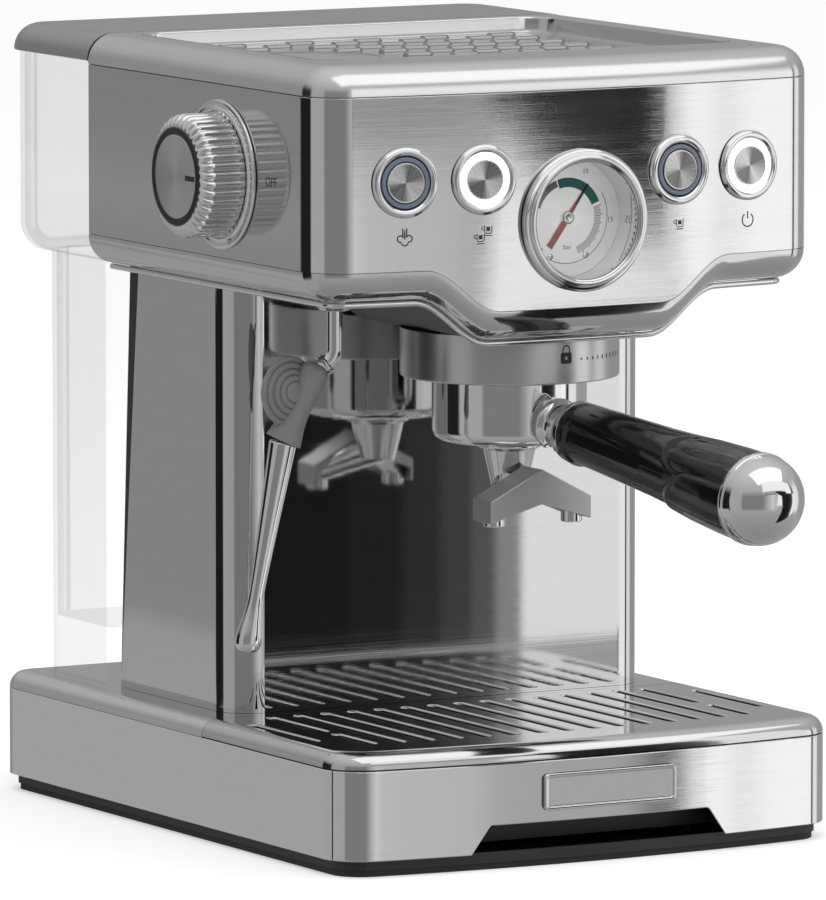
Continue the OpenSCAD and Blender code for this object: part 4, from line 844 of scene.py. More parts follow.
# ---- Top cover ----
# The head's upper edge rolls over in a 14 mm quarter round, in one pressing with the flat rim
# that holds the cup tray.
cover = loft([plan(HEAD_SPLIT + 0.1, 0.5, HEAD), plan(HEAD_SPLIT + 0.45, 0.05, HEAD)]
             + roll(HEAD_SPLIT + 0.5, 363.1, HEAD, 0.03), cap=True)
cut(cover, (0, 79.9, 0), (0, 1, 0))
thicken(cover, 1.1)
well = close_ends(loft([rounded_rect(-110.2, 110.2, -108.2, 76.2, 16.2, z, 10) for z in (340, 370)]))
cover = bored(cover, well)
top_steel = brushed("top_steel", (0.78, 0.78, 0.785), rough=0.17, aniso=0.55, grain=0.25, spread=0.03)
finish_piece("top_pressing", cover, "chassis", "case_steel", top_steel, "top_cover", sharp=25, level=True)


# ---- Cup tray ----
# A polished pressed tray let into the top, where cups are warmed. Rows of slots with raised
# bright ends stand in for louvres, and a round dish is pressed at the left.
shelf_steel = brushed("shelf_steel", (0.74, 0.74, 0.745), rough=0.15, aniso=0.5, grain=0.06, spread=0.04,
                      scale=(900, 20))
# From the tray's hem over its wall to the floor: (inset, height)
TRAY_SECTION = [(0.1, 363.15), (1.0, 363.15), (1.7, 362.9), (2.2, 362.2), (2.7, 357.4), (3.3, 356.0),
                (4.4, 355.35), (6, 355.25)]
tray = loft([rounded_rect(-110 + inset, 110 - inset, -108 + inset, 76 - inset, 16 - inset * 0.8, z, 10)
             for inset, z in TRAY_SECTION], cap=True)
thicken(tray, 0.9)
DISH = Vector((-60, -8.5, 0))
# Raised lip round an opening: (growth, height)
LIP = [(0.05, 355.1), (0.2, 356.5), (0.45, 356.85), (0.8, 356.8), (1.15, 356.3), (1.5, 355.28)]


def louvre(x, y, grow, z):
    """Ring round one of the tray's openings, at a height."""
    half_x, half_y, r = 6.2 + grow, 1.4 + grow, 1.35 + grow
    return rounded_rect(x - half_x, x + half_x, y - half_y, y + half_y, r, z, 4)


openings = bmesh.new()
lips = bmesh.new()
for row in range(15):
    y = -97 + 11.5 * row
    shift = 0 if row % 2 else 18
    for i in range(-4, 5):
        x = 36 * i + shift - 9
        if abs(x) <= 92 and (Vector((x, y, 0)) - DISH).length >= 42:
            add_mesh(openings, close_ends(loft([louvre(x, y, 0, z) for z in (353, 357)])))
            add_mesh(lips, loft([louvre(x, y, grow, z) for grow, z in LIP]))
tray = bored(tray, openings)
# The lips take a much darker copy of the tray's steel: painted shade round the openings.
lip_steel_painted_shade = brushed("lip_steel_painted_shade", (0.36, 0.36, 0.365), rough=0.12, aniso=0.3, grain=0.04, spread=0.04,
                    scale=(700, 40))
finish_piece("tray_lips", lips, "chassis", "steel", lip_steel_painted_shade, sharp=50)
add_mesh(tray, turned([(34.5, 355.27), (33.6, 355.9), (32.6, 355.95), (31.5, 355.5), (20, 355.32),
                       (0, 355.3)], Matrix.Translation(DISH)))
finish_piece("cup_shelf", tray, "chassis", "steel", shelf_steel, "cup_tray", sharp=30)


# ---- Lower trim and bead ----
# The rolled lower edge follows the chin round the front as a polished moulding, with a thin
# plated bead clipped under it.
def swept(section):
    """Section of (inset, drop) points swept round the head's lower edge, both its ends at the back."""
    back = 79.9
    rows = []
    for inset, drop in section:
        front = outline(inset=inset, stations=CHIN_STATIONS, **HEAD)[:-26]  # without the back corners
        row = [(x, y, chin(x) + drop) for x, y in front]
        rows.append([(row[0][0], back, row[0][2])] + row + [(row[-1][0], back, row[-1][2])])
    return loft(rows, closed=False)


trim_steel = brushed("trim_steel", (0.70, 0.70, 0.71), rough=0.09, aniso=0.6, grain=0.05, spread=0.03,
                     scale=(1200, 6))
ROLL = 13.9
quarter = [(ROLL * (1 - cos(pi / 2 * i / 9)), -ROLL * sin(pi / 2 * i / 9)) for i in range(1, 10)]
trim = swept([(1.3, 0.0), (0.05, -0.02)] + quarter)
thicken(trim, 1.2)
finish_piece("chin_moulding", trim, "chassis", "case_steel", trim_steel, "lower_trim", sharp=40)
bead = swept([(12.4 + 1.35 * cos(2 * pi * i / 10), -15.42 - 1.35 * sin(2 * pi * i / 10)) for i in range(11)])
bmesh.ops.remove_doubles(bead, verts=bead.verts[:], dist=1e-3)
finish_piece("chin_bead", bead, "chassis", "chrome", chrome, "trim_bead", sharp=60)


# ---- Knob plate ----
# A turned and plated disc behind the steam knob, screwed to the head's side. A flange and a
# raised ring leave a groove that the knob's skirt sits in.
plate = turned([(5.3, 0.06), (33.6, 0.06), (34.1, 0.5), (34.15, 1.0), (33.8, 1.5), (33.0, 1.85),
                (31.9, 1.95), (31.2, 1.6), (30.8, 1.65), (30.3, 2.3), (29.7, 2.55), (29.2, 2.5), (28.9, 2.1),
                (28.6, 1.7), (20, 1.6), (5.3, 1.6), (5.3, 0.06)], OUT_OF_SIDE, 96)
finish_piece("knob_flange", plate, "chassis", "chrome", chrome, "knob_plate", sharp=50)
finish_piece("steam_mark", lay(steam_sign(0.45), on_left_side(-60.5, 279.4, 2.02)), "chassis", "chrome",
             enamel, recalc=False)


# ---- Steam knob ----
# Die-cast knob with forty rounded ribs, plated bright. The ribs run out over its shoulder
# towards the rubber ring. It turns a quarter turn to open the valve.
RIBS = 40
RIB_FALL = (1.0, 0.45, 0.12, 0.0, 0.0, 0.12, 0.45)  # share of the groove's depth, round one rib


def ribbed(z, r, depth):
    """Ring of the knob at a height, with grooves of a given depth between its ribs."""
    ring = []
    for i in range(RIBS * 7):
        a = 2 * pi * (i / 7) / RIBS
        reach = r - depth * RIB_FALL[i % 7]
        ring.append((reach * cos(a), reach * sin(a), z))
    return ring


# Skirt, ribs, rounded shoulder and the seat of the rubber ring: (height, radius, groove)
KNOB_SECTION = [(1.95, 21, 0), (1.95, 27.2, 0.4), (2.2, 27.8, 1.3), (3.2, 28.25, 1.75), (12, 28.25, 1.85),
                (17.5, 28.25, 1.85), (19.2, 28.0, 1.85), (20.6, 27.3, 1.75), (21.7, 26.2, 1.5),
                (22.5, 24.9, 1.1), (23.0, 23.8, 0.4), (23.3, 23.0, 0.1), (23.35, 22.5, 0), (23.2, 22.33, 0),
                (20.9, 22.33, 0), (20.9, 10, 0)]
knob = lay(loft([ribbed(*row) for row in KNOB_SECTION], cap=True), OUT_OF_SIDE)
finish_piece("knob_body", knob, "steam_knob_turned", "chrome", chrome, "steam_knob", "valve_spindle",
             sharp=50)
gasket_rubber = moulded("black_rubber", (0.01, 0.01, 0.01), rough=0.38)
ring = turned([(22.28, 21), (22.28, 23.3), (21.9, 23.75), (21.3, 23.88), (20.2, 23.88), (19.6, 23.75),
               (19.35, 23.4), (19.35, 21)], OUT_OF_SIDE, 96)
finish_piece("knob_rubber", ring, "steam_knob_turned", "rubber", gasket_rubber, "knob_ring")
spun_satin = brushed("spun_satin", (0.66, 0.66, 0.67), rough=0.2, aniso=0.7, grain=0.1, spread=0.03,
                     scale=(3000, 60))
cap = turned([(19.3, 21), (19.3, 23.25), (19.05, 23.5), (17.5, 23.42), (8, 23.28), (0, 23.25)],
             OUT_OF_SIDE, 96)
finish_piece("knob_face", cap, "steam_knob_turned", "satin_alloy", spun_satin, "knob_disc", axis=(1, 0, 0),
             centre=(-154, KNOB_Y, KNOB_Z))
index = lay(box_mesh((-1.15, -18.2, 23.2), (1.15, -9.6, 23.55)), OUT_OF_SIDE)
finish_piece("knob_index", index, "steam_knob_turned", "rubber", gasket_rubber)


# ---- Pressure gauge case ----
# Turned brass case and stepped bezel, plated bright and pushed through the fascia from the
# front.
bezel = turned([(0, -19.4), (29.3, -19.4), (29.3, 0.36), (31.8, 0.36), (32.3, 0.8), (32.35, 2.1),
                (32.0, 2.75), (31.2, 3.15), (30.4, 3.2), (30.1, 3.35), (29.9, 4.4), (29.5, 5.1),
                (28.8, 5.42), (28.1, 5.42), (27.6, 5.05), (27.4, 4.5), (27.0, 4.3), (26.7, 4.0),
                (26.45, 3.4), (26.45, 1.5), (27.3, 1.45), (27.3, -16.4), (0, -16.4)], GAUGE, 96)
finish_piece("gauge_bezel", bezel, "chassis", "chrome", chrome, "gauge_case", sharp=42)


# ---- Gauge dial ----
# Satin aluminium disc, printed: a grey arc for the soak, a green arc for brewing pressure,
# fine graduations after it, figures in bar, and two small fixing screws.
# The dial's paint glows faintly by emission: painted light that brightens it.
dial_paint_glowing = moulded("dial_face", (0.88, 0.88, 0.87), rough=0.38, depth=0.00001,
                     more={"Metallic": 0.6, "Emission Color": (1, 1, 0.99, 1), "Emission Strength": 0.2})


def on_dial(lift):
    """Place on the dial at the gauge's centre, lifted off its face."""
    return GAUGE @ Matrix.Translation((0, 0, -14.5 + lift))


def clock_arc(r, start, stop, n=24):
    """Arc of a circle between clock angles in degrees, 0 at the top."""
    return arc(0, 0, r, 90 - start, 90 - stop, n)


dial = turned([(1.1, -2), (27.1, -2), (27.1, -0.02), (1.1, -0.02)], on_dial(0), 64)
finish_piece("dial_disc", dial, "chassis", "dial_face", dial_paint_glowing, "gauge_dial")
green_print = moulded("green_print", (0.02, 0.155, 0.14), rough=0.5, depth=0.00001)
finish_piece("dial_green", lay(stroke(clock_arc(15.9, -17, 68, 32), 4.3), on_dial(0.04)), "chassis",
             "dial_face", green_print, recalc=False)
grey_print = moulded("grey_print", (0.17, 0.17, 0.17), rough=0.5, depth=0.00001)
finish_piece("dial_grey", lay(stroke(clock_arc(16.4, -72, -19, 24), 3.2), on_dial(0.04)), "chassis",
             "dial_face", grey_print, recalc=False)
ticks = stroke(clock_arc(20.9, 60, 215, 40), 0.3)
for i in range(34):
    a = radians(90 - (74 + 2.6 * i))
    reach = 18.6 if i % 5 == 0 else 17.6
    add_mesh(ticks, stroke([(14.2 * cos(a), 14.2 * sin(a)), (reach * cos(a), reach * sin(a))], 0.3))
for figure, angle in (("5", -45), ("10", 25), ("15", 95)):
    a = radians(90 - angle)
    add_mesh(ticks, lettering(figure, 3.2, Matrix.Translation((22.6 * cos(a), 22.6 * sin(a), 0))))
add_mesh(ticks, lettering("0", 3.4, Matrix.Translation((-13.5, -14.5, 0))))
add_mesh(ticks, lettering("bar", 3.2, Matrix.Translation((0, -13.5, 0))))
finish_piece("dial_ticks", lay(ticks, on_dial(0.05)), "chassis", "dial_face", enamel, recalc=False)
screws = bmesh.new()
for u, v in ((-9, -17.5), (9.5, -17.5)):
    add_mesh(screws, turned([(1.5, 0), (1.45, 0.35), (1.1, 0.55), (0, 0.6)],
                            on_dial(0) @ Matrix.Translation((u, v, 0)), 20))
finish_piece("dial_screws", screws, "chassis", "chrome", chrome)


# ---- Gauge needle ----
# Stamped needle with a dark tip and a broad red tail, pressed on the pointer shaft under a
# plated hub.
needle_at = on_dial(0) @ Matrix.Rotation(radians(-36), 4, "Z")
NEEDLE_LIFT = 0.75


def leaf(stations):
    """Flat part of the needle through (half width, distance from the hub) stations."""
    bm = loft([[(-half, v, NEEDLE_LIFT), (half, v, NEEDLE_LIFT)] for half, v in stations], closed=False)
    thicken(bm, 0.5)
    return lay(bm, needle_at)


needle_red = moulded("needle_red", (0.42, 0.02, 0.018), rough=0.35, depth=0.00001)
finish_piece("needle_tail", leaf([(1.5, -16.3), (1.5, -4), (0.85, 4), (0.7, 7.5)]), "needle", "needle_red",
             needle_red, "gauge_needle")
finish_piece("needle_tip", leaf([(0.7, 7.5), (0.25, 18.3)]), "needle", "needle_red", enamel)
hub = turned([(1, -1.7), (1, 0.35), (3.0, 0.35), (3.1, 0.7), (3.0, 1.3), (2.6, 1.7), (1.6, 1.85), (1.2, 1.5),
              (0, 1.45)], needle_at, 48)
finish_piece("needle_hub", hub, "needle", "chrome", chrome, sharp=50)


# ---- Gauge glass ----
# Clear mineral glass, slightly domed, that is held in the bezel's lip in front of the
# needle.
def clear(name, tint, gloss=0.01, rough=0.02, waves=0.0, slant_share=0.9):
    """See-through sheet: rays pass straight on, and the surface mirrors more at a slant."""
    made = bpy.data.materials.new(name)
    made.use_nodes = True
    nt = made.node_tree
    nt.nodes.clear()
    through = new_node(nt, "BsdfTransparent", {"Color": (*tint, 1)})
    mirror = new_node(nt, "BsdfGlossy", {"Roughness": rough})
    slant = new_node(nt, "Fresnel", {"IOR": 1.45})
    ripple = noise(nt, (new_node(nt, "TexCoord"), "Object"), 18, 2)
    bump_on(nt, (ripple, "Fac"), waves, 0.001, mirror, slant)
    share = math(nt, "MULTIPLY_ADD", (slant, "Fac"), slant_share, gloss)
    surface = mix_shaders(nt, (share, 0), through, mirror)
    link(nt, surface, 0, new_node(nt, "OutputMaterial"), "Surface")
    return made


glass = clear("gauge_glass", (0.98, 0.985, 0.98))
lens = turned([(0, 1.6), (26.3, 1.6), (26.3, 2.9), (20, 3.3), (10, 3.6), (0, 3.7)], GAUGE, 64)
finish_piece("gauge_lens", lens, "chassis", "clear_glass", glass, "gauge_glass")


# ---- Button bezels ----
# Turned rings with a rounded edge, plated bright and pushed into the fascia from the front,
# one round each button.
bezels = bmesh.new()
hoop = [(14 + 2 * cos(radians(a)), 0.42 + 1.95 * sin(radians(a))) for a in range(0, 181, 15)]
for x in BUTTONS.values():
    add_mesh(bezels, turned([(13.2, -7.9), (13.2, 0.36)] + hoop + [(11.9, -7.9)],
                            out_of_front(x, BUTTON_Z), 72))
finish_piece("bezel_rings", bezels, "chassis", "chrome", chrome, "button_bezels", sharp=50)


# ---- Light rings ----
# Acrylic rings that carry light from the board to the panel. The double-cup and power rings
# are lit white, the other two rest unlit and look slate blue.
slate = moulded("ring_unlit", (0.105, 0.125, 0.17), rough=0.25, depth=0.00001, coat=0.5)
lit = moulded("ring_lit", (0.9, 0.9, 0.9), rough=0.3, depth=0.00001,
              more={"Emission Color": (0.96, 0.98, 1, 1), "Emission Strength": 1.5})
for name, x in BUTTONS.items():
    ring = turned([(9.55, -7.9), (11.7, -7.9), (11.7, 1.2), (11.4, 1.5), (9.9, 1.55), (9.55, 1.3),
                   (9.55, -7.9)], out_of_front(x, BUTTON_Z), 72)
    finish_piece("ring_" + name, ring, "chassis", "light_lens",
                 lit if name in ("double", "power") else slate, "light_rings", sharp=50)


# ---- Push buttons ----
# Metal discs with a spun finish, on black stems that reach back to the switches. Two bright
# wedges and two dark ones are painted into their colour: a painted highlight and painted shade.
spun_bright = brushed("spun_bright", (0.72, 0.72, 0.725), rough=0.2, aniso=0.96, grain=0.3, spread=0.03,
                      scale=(5000, 40))
# Painted highlight and painted shade: the discs' base colour is multiplied by tones stored on their mesh
tree = spun_bright.node_tree
painted_fans = new_node(tree, "Attribute")
painted_fans.attribute_name = "painted_fans"
painted_fan_mix = new_node(tree, "Mix")
painted_fan_mix.data_type = "RGBA"
painted_fan_mix.blend_type = "MULTIPLY"
painted_fan_mix.inputs[0].default_value = 1
base = tree.nodes["Principled BSDF"].inputs["Base Color"]
tree.links.new(base.links[0].from_socket, painted_fan_mix.inputs[6])
link(tree, painted_fans, "Color", painted_fan_mix, 7)
tree.links.new(painted_fan_mix.outputs[2], base)


def painted_fan_shades(bm, place):
    """Painted highlight and shade round a spun disc: two bright wedges, two dark ones, finely rayed."""
    layer = bm.loops.layers.float_color.new("painted_fans")
    back = place.inverted()
    for face in bm.faces:
        middle = back @ face.calc_center_median()
        a = atan2(middle.y, middle.x)
        for loop in face.loops:
            at = back @ loop.vert.co
            t = a if at.xy.length < 0.1 else atan2(at.y, at.x)
            tone = 0.6 + 0.36 * cos(2 * (t - 2.5)) + 0.08 * cos(6 * t + 1) + 0.05 * cos(22 * t)
            tone = 1.0 if at.xy.length > 8.3 else min(max(tone, 0.1), 1.0)
            loop[layer] = (tone, tone, tone, 1)


for name, x in BUTTONS.items():
    at = out_of_front(x, BUTTON_Z)
    disc = turned([(9.1, -4.9), (9.1, 1.6), (8.9, 1.85), (8.6, 1.9), (8.2, 1.75), (0.4, 1.55), (0, 1.55)],
                  at, 144)
    painted_fan_shades(disc, at)
    finish_piece("disc_" + name, disc, "button_" + name, "satin_alloy", spun_bright, name + "_button",
                 axis=at.to_3x3() @ Vector((0, 0, 1)), centre=at.to_translation())
    stem = turned([(3, -21.5), (3, -5), (0, -5)], at, 24)
    finish_piece("stem_" + name, stem, "button_" + name, "black_plastic", black_plastic)


# ---- Group collar ----
# Cast and turned ring that the portafilter's lugs lock into, brushed round its rim. A padlock
# and a row of growing dots show which way to turn the handle.
GROUP_Y = -85.3
GROUP = Matrix.Translation((0, GROUP_Y, 0))
MARK_R = 50.29  # just outside the collar's rim
collar_steel = brushed("collar_steel", (0.66, 0.66, 0.665), rough=0.3, aniso=0.5, grain=0.35, spread=0.03,
                       scale=(3000, 8))
collar = turned([(37.1, 213.95), (37.3, 213.85), (49.2, 213.83), (49.9, 214.1), (50.25, 214.7),
                 (50.25, 236.2), (43, 236.2), (43, 218), (37.1, 218), (37.1, 213.95)], GROUP, 128)
finish_piece("collar_ring", collar, "chassis", "satin_alloy", collar_steel, "group_collar", axis=(0, 0, 1),
             centre=(0, GROUP_Y, 225), sharp=40)


def on_collar(angle, z):
    """Place on the collar's rim, angle in degrees from straight ahead: Z points out, Y up."""
    return (GROUP @ Matrix.Rotation(radians(angle), 4, "Z") @ Matrix.Translation((0, -MARK_R, z))
            @ Matrix.Rotation(pi / 2, 4, "X"))


lock = loft([rounded_rect(-2.9, 2.9, -3.9, 1.2, 1, 0, 4), rounded_rect(-0.65, 0.65, -2.1, -0.6, 0.35, 0, 4)])
add_mesh(lock, stroke([(-1.75, 1.1)] + arc(0, 2.5, 1.75, 180, 0, 14) + [(1.75, 1.1)], 0.62))
for v in lock.verts:
    v.co = on_collar(degrees(v.co.x / MARK_R) + 0.93, 227.2 + v.co.y).to_translation()
for i in range(10):
    reach = 0.5 + 0.09 * min(i, 6)
    dot = stroke([(0, -reach), (0, reach)], 0.85)
    bmesh.ops.subdivide_edges(dot, edges=dot.edges[:], cuts=1)
    add_mesh(lock, lay(dot, on_collar(10.57 + 4.15 * i, 225.0)))
finish_piece("lock_marks", lock, "chassis", "satin_alloy", enamel, recalc=False)


# ---- Portafilter bowl ----
# Forged brass bowl, turned outside and plated bright, with two bayonet lugs under its rim and
# a rounded lower edge.
def sector(r0, r1, a0, a1, z0, z1):
    """Block between two radii and two angles round the group."""
    bm = bmesh.new()
    verts = [bm.verts.new(p) for p in ((r0, 0, z0), (r1, 0, z0), (r1, 0, z1), (r0, 0, z1))]
    face = bm.faces.new(verts)
    bmesh.ops.rotate(bm, verts=verts, cent=(0, 0, 0), matrix=Matrix.Rotation(radians(a0), 3, "Z"))
    bmesh.ops.spin(bm, geom=[face], cent=(0, 0, 0), axis=(0, 0, 1), angle=radians(a1 - a0), steps=12)
    bmesh.ops.contextual_create(bm, geom=[e for e in bm.edges if e.is_boundary])
    return lay(bm, GROUP)


bowl = turned([(4.2, 183.95), (14, 183.82), (29.5, 183.82), (31.4, 184.0), (33.2, 184.8), (34.5, 186.1),
               (35.3, 187.9), (35.48, 189.8), (35.48, 225.9), (35.1, 226.4), (31.2, 226.4), (31.0, 226.0),
               (31.0, 188.2), (30, 187.6), (4.2, 187.6), (4.2, 183.95)], GROUP, 128)
for side in (0, 180):
    add_mesh(bowl, sector(35.2, 41.4, side - 9, side + 21, 218.4, 222.7))
finish_piece("bowl_body", bowl, "portafilter", "chrome", chrome, "bowl", sharp=40)
basket = turned([(0, 205.6), (26, 205.6), (28.6, 206.3), (30.3, 208.4), (30.5, 211), (30.55, 226.55),
                 (34.8, 226.6), (34.85, 227.35), (34.3, 227.45), (30.6, 227.4), (29.8, 226.8), (29.75, 211),
                 (29.2, 208.6), (27.8, 207.1), (25.8, 206.4), (0, 206.4)], GROUP, 96)
for ring, count in ((0, 1), (5, 8), (10, 16), (15, 24), (20, 32), (24, 40)):
    for i in range(count):
        a = 2 * pi * i / count
        add_mesh(basket, turned([(0.55, 0.0), (0.35, -0.22), (0, -0.25)],
                                GROUP @ Matrix.Translation((ring * cos(a), ring * sin(a), 206.46)), 8))
finish_piece("basket", basket, "portafilter", "steel", polished, "filter_basket", sharp=45)


# ---- Handle neck ----
# Plated neck screwed into the bowl. It leaves the bowl on a round boss, narrows, and flares
# to the ferrule that the grip seats against.
HANDLE = (GROUP @ Matrix.Translation((0, 0, 194.3)) @ Matrix.Rotation(radians(6), 4, "Z")
          @ Matrix.Translation((0, -35.5, 0)) @ Matrix.Rotation(radians(7.3), 4, "X")
          @ Matrix.Rotation(pi / 2, 4, "X"))
neck = turned([(0, 1), (11.9, 1.0), (12.2, 1.4), (12.1, 2.2), (11.3, 3.0), (10.2, 3.6), (9.6, 4.6),
               (9.45, 6.2), (9.45, 9.5), (9.7, 11.6), (10.5, 13.4), (11.9, 14.8), (13.2, 15.5), (14.1, 16.1),
               (14.38, 16.9), (14.38, 19.5), (14.15, 20.1), (13.9, 20.6), (0, 20.6)], HANDLE, 96)
cut(neck, (0, GROUP_Y, 183.9), (0, 0, -1))
finish_piece("neck", neck, "portafilter", "chrome", chrome, "handle_neck", sharp=50)


# ---- Handle grip ----
# Gloss black moulding that swells towards its end. A long thumb pad is let into its upper left
# side, and a shallow finger recess with a crisp edge runs under it.
def smooth_step(t):
    """0 to 1 with level ends."""
    t = min(max(t, 0), 1)
    return t * t * (3 - 2 * t)


def grip_radius(z):
    """Radius of the grip at a distance from its ferrule."""
    stops = ((0, 13.9), (6, 14.6), (40, 15.75), (67, 16.75), (88, 18.1), (101, 19.25), (120, 20.25),
             (134.5, 20.6))
    for (z0, r0), (z1, r1) in zip(stops, stops[1:]):
        if z <= z1:
            return r0 + (r1 - r0) * (z - z0) / (z1 - z0)
    return stops[-1][1]


def grip_point(z, angle):
    """Radius of the grip at a distance and an angle, with the pad and the recess taken off."""
    r = grip_radius(z)
    # Thumb pad: a stadium round the angle 128, from 84 mm to past the end
    across = (angle - 128) * r * pi / 180
    along = max(96 - z, 0)
    inside = 12.5 - sqrt(across * across + along * along)
    r -= 1.1 * smooth_step(inside / 2.2 + 0.4)
    # Finger recess below, dying out towards the swell
    below = ((angle + 360) % 360 - 238) * r * pi / 180
    inside = min(25 - abs(below), 86 - z + 0.03 * below * below, z - 8)
    r -= 1.3 * smooth_step(inside / 4 + 0.3)
    return r


GRIP_LENGTH, GRIP_ROWS = 134.4, 135
rings = []
for i in range(GRIP_ROWS + 1):
    z = GRIP_LENGTH * i / GRIP_ROWS
    rings.append([(grip_point(z, a) * cos(radians(a)), grip_point(z, a) * sin(radians(a)), 17.05 + z)
                  for a in range(0, 360, 3)])
grip = lay(close_ends(loft(rings)), HANDLE)
gloss_black = moulded("gloss_black", (0.004, 0.004, 0.0045), rough=0.12, fine=140, depth=0.00001, coat=0.2)
finish_piece("grip", grip, "portafilter", "gloss_black", gloss_black, "handle_grip", sharp=60)


# ---- Handle cap ----
# Turned dome, plated bright, that closes the grip's end. A band and a fine groove run round
# it.
dome = [(20.5 * cos(radians(a)), 155.4 + 18.6 * sin(radians(a))) for a in range(6, 91, 6)]
cap = turned([(0, 151.6), (20.7, 151.6), (21.1, 152.0), (21.15, 153.8), (20.95, 154.5), (20.6, 154.75),
              (20.55, 155.0), (20.5, 155.4)] + dome, HANDLE, 96)
finish_piece("cap", cap, "portafilter", "chrome", chrome, "handle_cap", sharp=50)


# ---- Double spout ----
# Funnel screwed under the bowl, with a folded steel roof in front of it that shares the coffee
# between two short outlets.
spout = turned([(4, 163), (8.3, 163), (8.9, 165.5), (12.1, 179.4), (12.9, 180.1), (14.2, 180.5),
                (14.7, 181.2), (14.7, 182.3), (14.2, 183.1), (13.4, 183.6), (4, 183.6), (4, 163)], GROUP, 72)
OUTLET_X, OUTLET_Y = 20.3, -21.65
for side in (-1, 1):
    start = Vector((side * 2, -3, 165.2))
    arm = Vector((side * OUTLET_X, -21.6, 155.4)) - start
    along_arm = arm.to_track_quat("Z", "Y").to_matrix().to_4x4()
    reach = arm.length
    add_mesh(spout, turned([(0, -4), (5.9, -3), (6.3, 0), (5.6, reach * 0.5), (5.4, reach), (4.2, reach + 3),
                            (0, reach + 3.8)], GROUP @ Matrix.Translation(start) @ along_arm, 40))
    outlet = GROUP @ Matrix.Translation((side * OUTLET_X, OUTLET_Y, 0))
    add_mesh(spout, turned([(3.1, 147.3), (4.5, 147.3), (4.95, 147.8), (4.95, 154), (3.1, 154),
                            (3.1, 147.3)], outlet, 40))
finish_piece("spout_funnel", spout, "portafilter", "chrome", chrome, "double_spout", sharp=45)


def roof_ring(y, ridge_y):
    """Front view of the folded roof at a depth; its ridge may stand forward of its ends."""
    half, eaves, ridge = 26.4, (149.2, 159.5), (157.2, 173.2)  # half width, and heights of both edges
    return [(-half, y, eaves[1]), (0, ridge_y, ridge[1]), (half, y, eaves[1]),
            (half, y, eaves[0]), (0, ridge_y, ridge[0]), (-half, y, eaves[0])]


def in_front(part):
    """Whether a part of the roof lies wholly on its front face."""
    return all(v.co.y < -20 for v in part.verts)


def on_ridge(v):
    """Whether a vertex is at the front end of the ridge."""
    return v.co.y < -20 and abs(v.co.x) < 1


roof = loft([roof_ring(-12.9, -12.9), roof_ring(-29.3, -30.8)])
bmesh.ops.contextual_create(roof, geom=[e for e in roof.edges if e.is_boundary and in_front(e)])
bmesh.ops.connect_verts(roof, verts=[v for v in roof.verts if on_ridge(v)])
soften(roof, 0.55, 3, [e for e in roof.edges if not e.is_boundary and not all(on_ridge(v) for v in e.verts)])
bmesh.ops.recalc_face_normals(roof, faces=roof.faces)
# Underside opened between the front sheet and the outlets
under = close_ends(loft([[(3, y, 120), (25.2, y, 120), (25.2, y, 155.4), (3, y, 164)]
                         for y in (-28.2, -12)]))
mirror = under.copy()
bmesh.ops.scale(mirror, vec=(-1, 1, 1), verts=mirror.verts[:])
bmesh.ops.reverse_faces(mirror, faces=mirror.faces[:])
add_mesh(under, mirror)
roof = lay(bored(close_ends(roof), under), GROUP)
roof_steel = brushed("roof_steel", (0.66, 0.66, 0.67), rough=0.42, aniso=0.3, grain=0.08, spread=0.03,
                     scale=(1600, 12))
finish_piece("spout_roof", roof, "portafilter", "chrome", roof_steel, sharp=30)


# ---- Steam pipe and its socket ----
# Plated tube that hangs from a socket under the head and bends out to the left. A knurled nut
# holds the lower tube's ball joint.
WAND_SOCKET = Matrix.Translation((-98.5, -98.5, 0))
socket = turned([(3.75, 249.35), (6.4, 249.35), (7.0, 249.7), (9.2, 252.3), (9.45, 253.0), (9.45, 256.2),
                 (3.75, 256.2), (3.75, 249.35)], WAND_SOCKET)
finish_piece("socket", socket, "chassis", "chrome", chrome, "wand_socket", sharp=40)
WAND = WAND_SOCKET @ Matrix.Rotation(radians(160), 4, "Z")


def tube_along(points, radii, n=32):
    """Round tube through points in one upright plane of the pipe, capped at both ends."""
    rows = []
    side = Vector((0, 1, 0))
    for i, (point, r) in enumerate(zip(points, radii)):
        before = Vector(points[max(i - 1, 0)])
        after = Vector(points[min(i + 1, len(points) - 1)])
        up = (after - before).normalized().cross(side)
        rows.append([Vector(point) + side * r * cos(2 * pi * k / n) + up * r * sin(2 * pi * k / n)
                     for k in range(n)])
    return close_ends(loft(rows))


def leaning(angle):
    """Direction that leans from straight down towards the pipe's X by an angle in degrees."""
    return Vector((sin(radians(angle)), 0, -cos(radians(angle))))


bend = [(8 * (1 - cos(radians(a))), 0, 232.3 - 8 * sin(radians(a))) for a in range(0, 51, 5)]
elbow_end = Vector(bend[-1])
down_pipe = leaning(50)
ball_at = elbow_end + down_pipe * 9
pipe = tube_along([(0, 0, 265), (0, 0, 250), (0, 0, 240)] + bend + [elbow_end + down_pipe * 0.5, ball_at],
                  [3.6] * (3 + len(bend)) + [3.6, 3.0])
add_mesh(pipe, turned([(3.6, 258.5), (6.9, 258.5), (6.9, 260.3), (3.6, 260.3)], Matrix(), 32))
lay(pipe, WAND)
finish_piece("pipe", pipe, "steam_wand", "chrome", chrome, "steam_pipe", sharp=50)
nut_place = WAND @ Matrix.Translation(elbow_end + down_pipe * 0.5) @ Matrix.Rotation(radians(130), 4, "Y")
nut = turned([(3.1, 0), (4.3, 0), (4.85, 0.35), (5.15, 0.75), (4.85, 1.15), (4.7, 1.4), (4.85, 1.65),
              (5.15, 2.1), (4.85, 2.5), (4.7, 2.75), (4.4, 3.25), (3.1, 3.25), (3.1, 0)], nut_place, 64)
finish_piece("nut", nut, "steam_wand", "chrome", chrome, "wand_nut", sharp=40)


